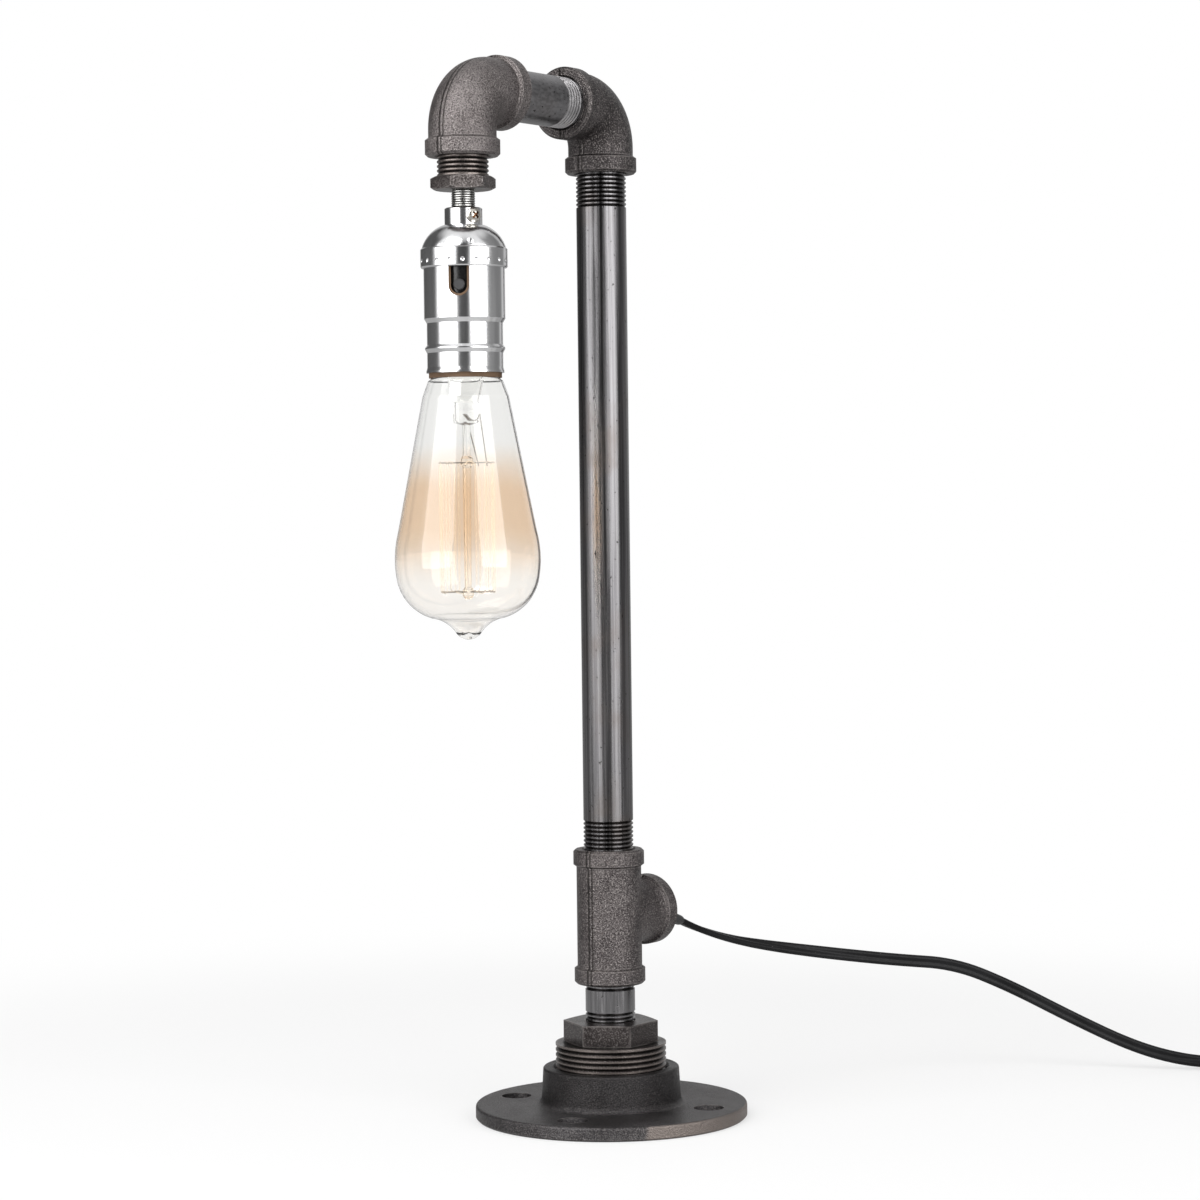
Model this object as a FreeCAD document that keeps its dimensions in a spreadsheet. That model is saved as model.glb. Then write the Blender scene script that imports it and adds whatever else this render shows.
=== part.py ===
import FreeCAD, Part
import math
import os

import PartDesign
import Sketcher
from FreeCAD import Placement, Rotation, Vector

# Industrial pipe table lamp, millimetres. Origin: centre of the floor flange's underside.
# +Z up the column, the arm reaches along -X, the cord leaves the tee along +X.

SIZES = {
    # half-inch pipe and its screwed ends
    "pipe_od": 21.34,
    "pipe_bore": 15.8,
    "pipe_pitch": 1.814,
    "pipe_tooth": 0.75,
    "end_chamfer": 1.0,
    "screw_fit": 0.05,
    # floor flange
    "flange_od": 116.8,
    "plate_thick": 6.0,
    "hub_od": 58.5,
    "hub_height": 21.7,
    "hub_draft": 0.7,
    "hub_fillet": 3.0,
    "rim_round": 1.2,
    "bolt_circle": 88.9,
    "bolt_hole": 13.0,
    "bolt_count": 4,
    "bolt_phase": 14.0,
    # reducing bushing in the flange
    "base_thread_od": 47.5,
    "base_pitch": 2.309,
    "base_tooth": 0.95,
    "base_thread_shown": 10.4,
    "base_thread_sunk": 15.7,
    "base_hex": 35.3,
    "base_hex_height": 9.4,
    "base_hollow": 34.0,
    "base_web": 9.0,
    # pipe lengths and how far each end is screwed in
    "base_nipple_length": 38.1,
    "base_engaged": 11.05,
    "base_nipple_low_thread": 17.0,
    "base_nipple_top_thread": 15.0,
    "riser_length": 304.8,
    "riser_engaged": 8.15,
    "riser_thread": 22.0,
    "riser_top_thread": 24.0,
    "arm_nipple_length": 63.5,
    "arm_far_engaged": 9.8,
    "arm_near_engaged": 14.0,
    "arm_thread": 20.2,
    "bore_runout": 1.0,
    # cast elbows and tee
    "elbow_reach": 27.8,
    "tee_reach": 28.9,
    "branch_reach": 30.6,
    "band_od": 30.4,
    "band_length": 7.5,
    "band_edge": 1.0,
    "elbow_body": 27.6,
    "elbow_bend": 17.0,
    "fitting_hollow": 19.4,
    "tee_body": 27.8,
    "branch_body": 26.4,
    "branch_fillet": 2.0,
    # reducing bushing in the head elbow
    "head_thread_od": 20.9,
    "head_thread_shown": 8.1,
    "head_thread_sunk": 9.5,
    "head_hex": 23.0,
    "head_hex_height": 5.3,
    # threaded lamp nipple
    "nipple_od": 9.6,
    "nipple_bore": 6.6,
    "nipple_pitch": 0.941,
    "nipple_tooth": 0.38,
    "nipple_shown": 7.3,
    "nipple_in_bushing": 9.0,
    "nipple_in_cap": 6.0,
    # lampholder
    "cap_neck_od": 15.3,
    "cap_neck_height": 6.7,
    "dome_height": 9.4,
    "dome_round": 13.6,
    "cap_band_od": 35.2,
    "cap_band_height": 8.0,
    "dome_od": 34.0,
    "cap_wall": 0.8,
    "dome_dent": 5.2,
    "dome_dent_out": 18.4,
    "dome_dent_rise": 2.4,
    "dome_dent_angle": 226.7,
    "band_dimples": 20,
    "band_dimple": 2.6,
    "shell_od": 32.8,
    "shell_upper": 20.4,
    "shell_step": 1.8,
    "shell_waist": 30.7,
    "shell_waist_height": 9.4,
    "shell_bead": 32.4,
    "shell_lower": 10.6,
    "shell_wall": 0.5,
    "shell_lap": 5.0,
    "liner_wall": 0.8,
    "liner_proud": 2.0,
    "slip": 0.1,
    "slot_width": 8.4,
    "slot_depth": 12.0,
    "slot_angle": 210.0,
    "core_od": 27.2,
    "core_height": 20.6,
    "contact_recess": 1.5,
    "slot_margin": 0.9,
    "terminal_spread": 9.0,
    "terminal_head": 5.0,
    "screw_angle": 248.5,
    "screw_head": 6.2,
    "screw_head_height": 2.2,
    "screw_shank": 3.4,
    "screw_recess": 3.4,
    "recess_width": 1.0,
    "recess_depth": 1.1,
    # rotary switch
    "stem_od": 4.6,
    "stem_height_below_band": 7.4,
    "stem_reach": 15.6,
    "cam_od": 9.0,
    "cam_length": 5.0,
    "turn_gap": 0.3,
    # screw shell and bulb
    "bulb_thread_od": 26.2,
    "bulb_pitch": 3.629,
    "bulb_tooth": 1.0,
    "bulb_cap_height": 20.0,
    "bulb_cap_wall": 0.4,
    "bulb_shoulder": 17.0,
    "bulb_insulator_height": 3.4,
    "bulb_tip_od": 9.4,
    "bulb_tip_height": 1.7,
    "bulb_fit": 0.1,
    "bulb_rim_above_shell": 0.5,
    "screw_shell_wall": 0.5,
    "contact_thick": 0.6,
    "glass_wall": 0.8,
    "glass_widest": 59.0,
    "glass_neck": 22.8,
    "glass_length": 108.2,
    "glass_in_cap": 12.0,
    "flare_out": 3.8,
    "flare_drop": 3.8,
    "slope_out": 6.1,
    "slope_drop": 10.1,
    "flank_in": 1.5,
    "flank_drop": 64.1,
    "flank_round": 45.0,
    "shoulder_in": 0.7,
    "shoulder_rise": 24.7,
    "shoulder_round": 20.0,
    "dip_radius": 14.6,
    "dip_rise": 8.8,
    "dip_round": 13.6,
    "tip_radius": 5.0,
    "tip_rise": 2.6,
    "press_od": 10.8,
    "press_top": 12.6,
    "press_low": 20.8,
    "rod_od": 3.4,
    "bead_out": 0.9,
    "bead_half": 1.2,
    "cage_radius": 11.0,
    "cage_top_drop": 36.3,
    "cage_low_rise": 18.9,
    "lead_drop": 17.0,
    "filament_od": 0.34,
    "support_od": 0.5,
    "strand_pairs": 8,
    # twin flat cord
    "cord_width": 5.6,
    "cord_thick": 2.8,
    "cord_bend": 16.5,
    "grommet_length": 6.0,
    "grommet_lip": 1.2,
    "grommet_drop": 3.5,
    "piece_gap": 0.3,
    "coil_x": 235.4,
    "coil_y": -228.2,
    "coil_radius": 36.0,
    "turn_pitch": 6.5,
    "layer_pitch": 3.5,
    "tie_thick": 1.0,
    "tie_width": 9.0,
    "tail_reach": 38.0,
    "plug_width": 25.0,
    "plug_thick": 17.0,
    "plug_length": 27.0,
    "plug_neck": 12.0,
    "blade_width": 6.35,
    "blade_thick": 1.5,
    "blade_length": 17.5,
    "blade_spacing": 12.7,
}

document = FreeCAD.newDocument("PipeTableLamp")
sheet = document.addObject("Spreadsheet::Sheet", "Sizes")
pieces = []


class Size:
    """A length known both as a number and as the formula that a feature is bound to."""

    def __init__(self, text, value):
        self.text = text
        self.value = float(value)

    def joined(self, sign, other, value):
        return Size("(%s %s %s)" % (self.text, sign, as_size(other).text), value)

    def __add__(self, other):
        return self.joined("+", other, self.value + as_size(other).value)

    def __sub__(self, other):
        return self.joined("-", other, self.value - as_size(other).value)

    def __mul__(self, other):
        return self.joined("*", other, self.value * as_size(other).value)

    def __truediv__(self, other):
        return self.joined("/", other, self.value / as_size(other).value)

    def __neg__(self):
        return Size("(0 - %s)" % self.text, -self.value)


def as_size(thing):
    """A plain number as a Size, so that formulas can mix the two."""
    if isinstance(thing, Size):
        return thing
    return Size("%.6f" % thing, thing)


def size(name):
    """A driving dimension from the sheet."""
    return Size("Sizes." + name, SIZES[name])


def fill_sheet():
    for row, (name, value) in enumerate(SIZES.items(), 1):
        sheet.set("A%d" % row, name)
        sheet.set("B%d" % row, str(value))
        sheet.setAlias("B%d" % row, name)
    document.recompute()


def bind(thing, prop, formula):
    """Tie one property of an object to a formula of the sheet's cells."""
    thing.setExpression(prop, as_size(formula).text)


def place(piece, x=0.0, y=0.0, z=0.0, turn=None):
    """Put a piece where its formulas say, after the turn given."""
    piece.Placement = Placement(Vector(0, 0, 0), turn or Rotation())
    for name, formula in (("x", x), ("y", y), ("z", z)):
        piece.setExpression(".Placement.Base." + name, as_size(formula).text)


def origin_plane(body, role):
    for feature in body.Origin.OriginFeatures:
        if feature.Role == role:
            return feature
    raise RuntimeError("no plane " + role)


def new_body(label):
    body = document.addObject("PartDesign::Body", label)
    body.Label = label
    pieces.append(body)
    return body


def new_sketch(body, name, role="XZ_Plane", lift=None):
    sketch = body.newObject("Sketcher::SketchObject", name)
    sketch.AttachmentSupport = (origin_plane(body, role), [""])
    sketch.MapMode = "FlatFace"
    if lift is not None:
        sketch.setExpression(".AttachmentOffset.Base.z", as_size(lift).text)
    return sketch


def arc_between(start, stop, radius, side):
    """Arc of a circle from start to stop, bulging to the left (side 1) or right (side -1)."""
    half = (stop - start) * 0.5
    across = Vector(-half.y, half.x, 0).normalize()
    rise = math.sqrt(max(radius * radius - half.Length ** 2, 0.0))
    centre = start + half - across * (side * rise)
    middle = centre + across * (side * radius)
    return Part.Arc(start, middle, stop)


def outline(sketch, corners):
    """Closed outline in a sketch. A corner is (x, y) or (x, y, radius, side), whose arc leads on
    to the next corner. Every corner and radius is bound to its formula."""
    spots = [Vector(as_size(c[0]).value, as_size(c[1]).value, 0) for c in corners]
    count = len(corners)
    ends = []
    for index, corner in enumerate(corners):
        start = spots[index]
        stop = spots[(index + 1) % count]
        if len(corner) == 2:
            sketch.addGeometry(Part.LineSegment(start, stop), False)
            ends.append((1, 2))
        else:
            sketch.addGeometry(arc_between(start, stop, as_size(corner[2]).value, corner[3]), False)
            # a sketch keeps every arc counter-clockwise, so one that bulges left runs backwards
            ends.append((2, 1) if corner[3] > 0 else (1, 2))
    for index, corner in enumerate(corners):
        following = (index + 1) % count
        join("Coincident", sketch, index, ends[index][1], following, ends[following][0])
    for index, corner in enumerate(corners):
        for kind, formula in (("DistanceX", corner[0]), ("DistanceY", corner[1])):
            formula = as_size(formula)
            measure(sketch, kind, (-1, 1, index, ends[index][0]), formula)
        if len(corner) > 2:
            measure(sketch, "Radius", (index,), as_size(corner[2]))
    return sketch


def join(kind, sketch, *places):
    sketch.addConstraint(Sketcher.Constraint(kind, *places))


def measure(sketch, kind, places, formula):
    number = sketch.addConstraint(Sketcher.Constraint(kind, *places, formula.value))
    sketch.setExpression("Constraints[%d]" % number, formula.text)


def circle(sketch, radius, x=0.0, y=0.0):
    x = as_size(x)
    y = as_size(y)
    sketch.addGeometry(Part.Circle(Vector(x.value, y.value, 0), Vector(0, 0, 1), radius.value), False)
    measure(sketch, "Radius", (0,), radius)
    measure(sketch, "DistanceX", (-1, 1, 0, 3), x)
    measure(sketch, "DistanceY", (-1, 1, 0, 3), y)


def revolve(body, kind, name, corners, axis="V_Axis"):
    """Turned feature, adding (Revolution) or cutting (Groove), about an axis of its sketch."""
    sketch = outline(new_sketch(body, name + "_outline"), corners)
    feature = body.newObject("PartDesign::" + kind, name)
    feature.Profile = sketch
    feature.ReferenceAxis = (sketch, [axis])
    feature.Angle = 360.0
    document.recompute()
    return feature


def turned(label, corners):
    """A piece that is one turned shape about its own Z axis."""
    body = new_body(label)
    revolve(body, "Revolution", label + "_turning", corners)
    return body


def cut_grooves(body, name, radius, tooth, pitch, first, count):
    """Screw thread as evenly spaced V grooves about Z: first is the height of the lowest."""
    outside = radius + 0.2
    corners = [(outside, first), (outside, first + pitch * 0.92), (radius - tooth, first + pitch * 0.46)]
    groove = revolve(body, "Groove", name, corners)
    pattern = body.newObject("PartDesign::LinearPattern", name + "_row")
    pattern.Originals = [groove]
    pattern.Direction = (groove.Profile[0], ["V_Axis"])
    pattern.Occurrences = count
    bind(pattern, "Length", pitch * (count - 1))
    body.Tip = pattern
    document.recompute()
    return pattern


def whole_turns(length, pitch):
    return max(2, int(as_size(length).value / as_size(pitch).value))


def hexagon(body, name, flats, phase, low, height, bevel):
    """Hexagonal prism from low upwards, one corner at the phase angle. The bevel is the slope
    that trims its corners at both ends."""
    corner = flats / math.sqrt(3.0)
    sketch = new_sketch(body, name + "_outline", "XY_Plane", low)
    angles = [math.radians(phase + 60.0 * step) for step in range(6)]
    outline(sketch, [(corner * math.cos(a), corner * math.sin(a)) for a in angles])
    pad = body.newObject("PartDesign::Pad", name)
    pad.Profile = sketch
    bind(pad, "Length", height)
    document.recompute()
    trim = corner - flats / 2.0
    top = low + height
    far = corner + 0.5
    revolve(body, "Groove", name + "_top_trim",
            [(flats / 2.0, top + 0.01), (far, top + 0.01), (far, top - (trim + 0.5) * bevel)])
    revolve(body, "Groove", name + "_foot_trim",
            [(flats / 2.0, low - 0.01), (far, low + (trim + 0.5) * bevel), (far, low - 0.01)])
    return pad


def bore_out(body, name, corners):
    return revolve(body, "Groove", name, corners)


def through_bore(radius, low, high):
    return [(0.0, low - 1.0), (radius, low - 1.0), (radius, high + 1.0), (0.0, high + 1.0)]


def plain_feature(label, shape):
    """A piece whose shape is worked out here, for paths and groups that no feature covers."""
    feature = document.addObject("Part::Feature", label)
    feature.Label = label
    feature.Shape = shape
    pieces.append(feature)
    return feature


fill_sheet()

# heights that several pieces share
half_pipe = size("pipe_od") / 2.0
fitting_bore = half_pipe + size("screw_fit")
hub_top = size("hub_height")
base_hex_low = hub_top + size("base_thread_shown")
base_hex_top = base_hex_low + size("base_hex_height")
tee_height = (base_hex_top + size("base_nipple_length") - size("base_engaged") * 2.0
              + size("tee_reach"))
arm_height = (tee_height + size("tee_reach") + size("riser_length")
              - size("riser_engaged") * 2.0 + size("elbow_reach"))
arm_reach = (size("elbow_reach") * 2.0 + size("arm_nipple_length")
             - size("arm_far_engaged") - size("arm_near_engaged"))
head_hex_top = arm_height - size("elbow_reach") - size("head_thread_shown")
head_hex_low = head_hex_top - size("head_hex_height")
cap_top = head_hex_low - size("nipple_shown")
dome_top = cap_top - size("cap_neck_height")
band_top = dome_top - size("dome_height")
band_low = band_top - size("cap_band_height")
shell_low = (band_low - size("shell_upper") - size("shell_step") - size("shell_waist_height")
             - size("shell_lower"))
stem_height = band_low - size("stem_height_below_band")
along_arm = Rotation(Vector(0, 1, 0), -90)


def make_base_flange():
    """Cast floor flange: round plate, hub bored for the bushing, four bolt holes."""
    body = new_body("base_flange")
    rim = size("flange_od") / 2.0
    top = size("plate_thick")
    edge = size("rim_round")
    hub = size("hub_od") / 2.0
    foot = hub + size("hub_draft")
    bore = size("base_thread_od") / 2.0 + size("screw_fit")
    fillet = size("hub_fillet")
    revolve(body, "Revolution", "flange_casting", [
        (bore, 0.0),
        (rim - 0.8, 0.0),
        (rim, 0.8),
        (rim, top - edge, edge, -1),
        (rim - edge, top),
        (foot + fillet, top, fillet, 1),
        (foot, top + fillet),
        (hub, hub_top - 1.0, 1.0, -1),
        (hub - 1.0, hub_top),
        (bore + 1.2, hub_top),
        (bore, hub_top - 1.2),
    ])
    sketch = new_sketch(body, "bolt_hole_outline", "XY_Plane")
    phase = math.radians(SIZES["bolt_phase"])
    spot = size("bolt_circle") / 2.0
    circle(sketch, size("bolt_hole") / 2.0, spot * math.cos(phase), spot * math.sin(phase))
    hole = body.newObject("PartDesign::Pocket", "bolt_hole_cut")
    hole.Profile = sketch
    hole.Reversed = True
    bind(hole, "Length", top + 1.0)
    ring = body.newObject("PartDesign::PolarPattern", "bolt_hole_ring")
    ring.Originals = [hole]
    ring.Axis = (sketch, ["N_Axis"])
    ring.Angle = 360.0
    bind(ring, "Occurrences", size("bolt_count"))
    body.Tip = ring
    return body


def make_hex_bushing(label, thread_od, shown, sunk, flats, hex_height, phase, bevel, pitch, tooth,
                     bore):
    """Hex reducing bushing. Its own origin is the foot of the hex; the male thread hangs below."""
    body = new_body(label)
    radius = thread_od / 2.0
    low = -(shown + sunk)
    revolve(body, "Revolution", label + "_barrel", [
        (0.0, low),
        (radius - tooth, low),
        (radius, low + tooth),
        (radius, 0.0),
        (0.0, 0.0),
    ])
    hexagon(body, label + "_hex", flats, phase, as_size(0.0), hex_height, bevel)
    land = tooth * 0.6
    count = whole_turns(shown + sunk - tooth - land, pitch)
    cut_grooves(body, label + "_thread", radius, tooth, pitch, -(pitch * count + land), count)
    bore_out(body, label + "_bore", through_bore(bore, low, hex_height))
    return body


def make_base_bushing():
    body = make_hex_bushing("base_bushing", size("base_thread_od"), size("base_thread_shown"),
                            size("base_thread_sunk"), size("base_hex"), size("base_hex_height"),
                            0.0, 0.08, size("base_pitch"), size("base_tooth"), fitting_bore)
    low = -(size("base_thread_shown") + size("base_thread_sunk"))
    bore_out(body, "base_bushing_hollow", [
        (0.0, low - 1.0),
        (size("base_hollow") / 2.0, low - 1.0),
        (size("base_hollow") / 2.0, -size("base_web")),
        (0.0, -size("base_web")),
    ])
    place(body, z=base_hex_low)


def make_head_bushing():
    bore = size("nipple_od") / 2.0 + size("screw_fit")
    body = make_hex_bushing("head_bushing", size("head_thread_od"), size("head_thread_shown"),
                            size("head_thread_sunk"), size("head_hex"), size("head_hex_height"),
                            -15.0, 0.5, size("pipe_pitch"), size("pipe_tooth"), bore)
    place(body, x=-arm_reach, z=head_hex_top, turn=Rotation(Vector(1, 0, 0), 180))


def make_pipe(label, length, low_thread, high_thread):
    """Length of half-inch pipe from its own origin upwards, screwed at one end or both."""
    chamfer = size("end_chamfer")
    body = turned(label, [
        (size("pipe_bore") / 2.0, 0.0),
        (half_pipe - chamfer, 0.0),
        (half_pipe, chamfer),
        (half_pipe, length - chamfer),
        (half_pipe - chamfer, length),
        (size("pipe_bore") / 2.0, length),
    ])
    pitch = size("pipe_pitch")
    low_count = whole_turns(low_thread - chamfer, pitch)
    high_count = whole_turns(high_thread - chamfer, pitch)
    cut_grooves(body, label + "_low_thread", half_pipe, size("pipe_tooth"), pitch, chamfer, low_count)
    first = length - chamfer - pitch * high_count
    cut_grooves(body, label + "_high_thread", half_pipe, size("pipe_tooth"), pitch, first, high_count)
    return body


def band_corners(face, inside):
    """Outline of a fitting's raised band along its axis, its open face first."""
    outer = size("band_od") / 2.0
    edge = size("band_edge")
    back = face - size("band_length")
    return [
        (inside, face),
        (outer - edge, face),
        (outer, face - edge),
        (outer, back + edge),
        (outer - edge * 1.4, back),
        (inside, back),
    ]


def swapped(corners):
    """The same outline laid along the other sketch axis."""
    return [(c[1], c[0]) for c in corners]


def negated(corners, axis):
    return [tuple(-as_size(v) if i == axis else v for i, v in enumerate(c)) for c in corners]


def make_elbow(label, down_engaged, side_engaged):
    """Cast 90 degree elbow about its crossing of axes: one outlet down, the other along -X."""
    body = new_body(label)
    reach = size("elbow_reach")
    bend = size("elbow_bend")
    body_radius = size("elbow_body") / 2.0
    hollow = size("fitting_hollow") / 2.0
    route = new_sketch(body, label + "_route")
    corners = [(0.0, -reach), (0.0, -bend), (-bend, 0.0), (-reach, 0.0)]
    spots = [Vector(as_size(x).value, as_size(y).value, 0) for x, y in corners]
    route.addGeometry(Part.LineSegment(spots[0], spots[1]), False)
    route.addGeometry(arc_between(spots[1], spots[2], bend.value, -1), False)
    route.addGeometry(Part.LineSegment(spots[2], spots[3]), False)
    join("Coincident", route, 0, 2, 1, 1)
    join("Coincident", route, 1, 2, 2, 1)
    for edge, end, corner in ((0, 1, 0), (0, 2, 1), (1, 2, 2), (2, 2, 3)):
        measure(route, "DistanceX", (-1, 1, edge, end), as_size(corners[corner][0]))
        measure(route, "DistanceY", (-1, 1, edge, end), as_size(corners[corner][1]))
    measure(route, "Radius", (1,), bend)
    pipe_feature(body, "AdditivePipe", label + "_bend", route, body_radius, -reach)
    bands = band_corners(reach, hollow)
    revolve(body, "Revolution", label + "_down_band", negated(bands, 1))
    revolve(body, "Revolution", label + "_side_band", negated(swapped(bands), 0), "H_Axis")
    pipe_feature(body, "SubtractivePipe", label + "_hollow", route, hollow, -reach)
    down = bore_corners(reach, down_engaged)
    side = bore_corners(reach, side_engaged)
    revolve(body, "Groove", label + "_down_bore", negated(down, 1))
    revolve(body, "Groove", label + "_side_bore", negated(swapped(side), 0), "H_Axis")
    return body


def pipe_feature(body, kind, name, route, radius, start):
    """Round section swept along an elbow's route, adding or cutting."""
    section = new_sketch(body, name + "_section", "XY_Plane", start)
    circle(section, radius)
    feature = body.newObject("PartDesign::" + kind, name)
    feature.Profile = section
    feature.Spine = (route, ["Edge1", "Edge2", "Edge3"])
    document.recompute()
    return feature


def bore_corners(face, engaged):
    """Screwed bore of an outlet with a lead-in at its mouth, as deep as the pipe goes in."""
    floor = face - engaged - size("bore_runout")
    lead = fitting_bore + size("end_chamfer")
    return [
        (0.0, face + 0.01),
        (lead, face + 0.01),
        (fitting_bore, face - size("end_chamfer")),
        (fitting_bore, floor),
        (0.0, floor),
    ]


def make_tee():
    """Cast tee about its crossing of axes: run along Z, side outlet along +X."""
    body = new_body("tee")
    reach = size("tee_reach")
    side = size("branch_reach")
    run_radius = size("tee_body") / 2.0
    branch = size("branch_body") / 2.0
    hollow = size("fitting_hollow") / 2.0
    back = reach - size("band_length")
    side_back = side - size("band_length")
    revolve(body, "Revolution", "tee_run", [
        (0.0, -back - 0.5),
        (run_radius, -back - 0.5),
        (run_radius, back + 0.5),
        (0.0, back + 0.5),
    ])
    branch_turning = revolve(body, "Revolution", "tee_branch", [
        (0.0, 0.0),
        (0.0, branch),
        (side_back - 3.0, branch),
        (side_back + 0.5, run_radius),
        (side_back + 0.5, 0.0),
    ], "H_Axis")
    meeting = []
    for number, edge in enumerate(branch_turning.Shape.Edges, 1):
        box = edge.BoundBox
        if box.XMax < run_radius.value + 0.5 and box.ZLength > branch.value and box.XLength > 2.0:
            meeting.append("Edge%d" % number)
    blend = body.newObject("PartDesign::Fillet", "tee_blend")
    blend.Base = (branch_turning, meeting)
    bind(blend, "Radius", size("branch_fillet"))
    document.recompute()
    bands = band_corners(reach, hollow)
    revolve(body, "Revolution", "tee_top_band", bands)
    revolve(body, "Revolution", "tee_foot_band", negated(bands, 1))
    revolve(body, "Revolution", "tee_side_band", swapped(band_corners(side, hollow)), "H_Axis")
    bore_out(body, "tee_hollow", through_bore(hollow, -reach, reach))
    revolve(body, "Groove", "tee_top_bore", bore_corners(reach, size("riser_engaged")))
    revolve(body, "Groove", "tee_foot_bore", negated(bore_corners(reach, size("base_engaged")), 1))
    revolve(body, "Groove", "tee_side_bore",
            swapped(bore_corners(side, size("grommet_length"))), "H_Axis")
    revolve(body, "Groove", "tee_side_hollow",
            [(0.0, 0.0), (0.0, hollow), (side, hollow), (side, 0.0)], "H_Axis")
    place(body, z=tee_height)


def make_pipework():
    """Every cast fitting and steel nipple, from the floor flange to the lampholder."""
    make_base_flange()
    make_base_bushing()
    nipple = make_pipe("base_nipple", size("base_nipple_length"), size("base_nipple_low_thread"),
                       size("base_nipple_top_thread"))
    place(nipple, z=base_hex_top - size("base_engaged"))
    make_tee()
    riser = make_pipe("riser_pipe", size("riser_length"), size("riser_thread"),
                      size("riser_top_thread"))
    place(riser, z=tee_height + size("tee_reach") - size("riser_engaged"))
    elbow = make_elbow("riser_elbow", size("riser_engaged"), size("arm_far_engaged"))
    place(elbow, z=arm_height)
    nipple = make_pipe("arm_nipple", size("arm_nipple_length"), size("arm_thread"),
                       size("arm_near_engaged"))
    place(nipple, x=size("arm_far_engaged") - size("elbow_reach"), z=arm_height, turn=along_arm)
    elbow = make_elbow("head_elbow", size("head_thread_sunk"), size("arm_near_engaged"))
    place(elbow, x=-arm_reach, z=arm_height, turn=Rotation(Vector(0, 0, 1), 180))
    make_head_bushing()
    make_socket_nipple()


def make_socket_nipple():
    """Threaded nipple that carries the lampholder under the head bushing."""
    radius = size("nipple_od") / 2.0
    length = size("nipple_in_bushing") + size("nipple_shown") + size("nipple_in_cap")
    tooth = size("nipple_tooth")
    body = turned("socket_nipple", [
        (size("nipple_bore") / 2.0, 0.0),
        (radius - tooth, 0.0),
        (radius, tooth),
        (radius, length - tooth),
        (radius - tooth, length),
        (size("nipple_bore") / 2.0, length),
    ])
    pitch = size("nipple_pitch")
    count = whole_turns(length - tooth * 2.0, pitch)
    cut_grooves(body, "socket_nipple_thread", radius, tooth, pitch, tooth, count)
    place(body, x=-arm_reach, z=cap_top - size("nipple_in_cap"))


def radial_cylinder(body, kind, name, radius, angle, height, inner, outer):
    """Cylinder of a body laid along a radius at an angle and height, adding or cutting."""
    feature = body.newObject("PartDesign::" + kind, name)
    bind(feature, "Radius", radius)
    bind(feature, "Height", outer - inner)
    direction = Vector(math.cos(math.radians(angle)), math.sin(math.radians(angle)), 0)
    feature.Placement = Placement(Vector(0, 0, 0), Rotation(Vector(0, 0, 1), direction))
    feature.setExpression(".Placement.Base.x", (inner * direction.x).text)
    feature.setExpression(".Placement.Base.y", (inner * direction.y).text)
    feature.setExpression(".Placement.Base.z", as_size(height).text)
    document.recompute()
    return feature


def upright_slot(body, name, width, low, high, angle, inner, outer):
    """Slot with a round foot, cut through a wall along a radius and open at its top."""
    half = width / 2.0
    direction = Vector(math.cos(math.radians(angle)), math.sin(math.radians(angle)), 0)
    slab = body.newObject("PartDesign::SubtractiveBox", name + "_slab")
    bind(slab, "Length", outer - inner)
    bind(slab, "Width", width)
    bind(slab, "Height", high - low - half)
    slab.Placement = Placement(Vector(0, 0, 0), Rotation(Vector(0, 0, 1), angle))
    slab.setExpression(".Placement.Base.x", (inner * direction.x + half * direction.y).text)
    slab.setExpression(".Placement.Base.y", (inner * direction.y - half * direction.x).text)
    slab.setExpression(".Placement.Base.z", (low + half).text)
    document.recompute()
    radial_cylinder(body, "SubtractiveCylinder", name + "_foot", half, angle, low + half,
                    inner, outer)


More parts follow.
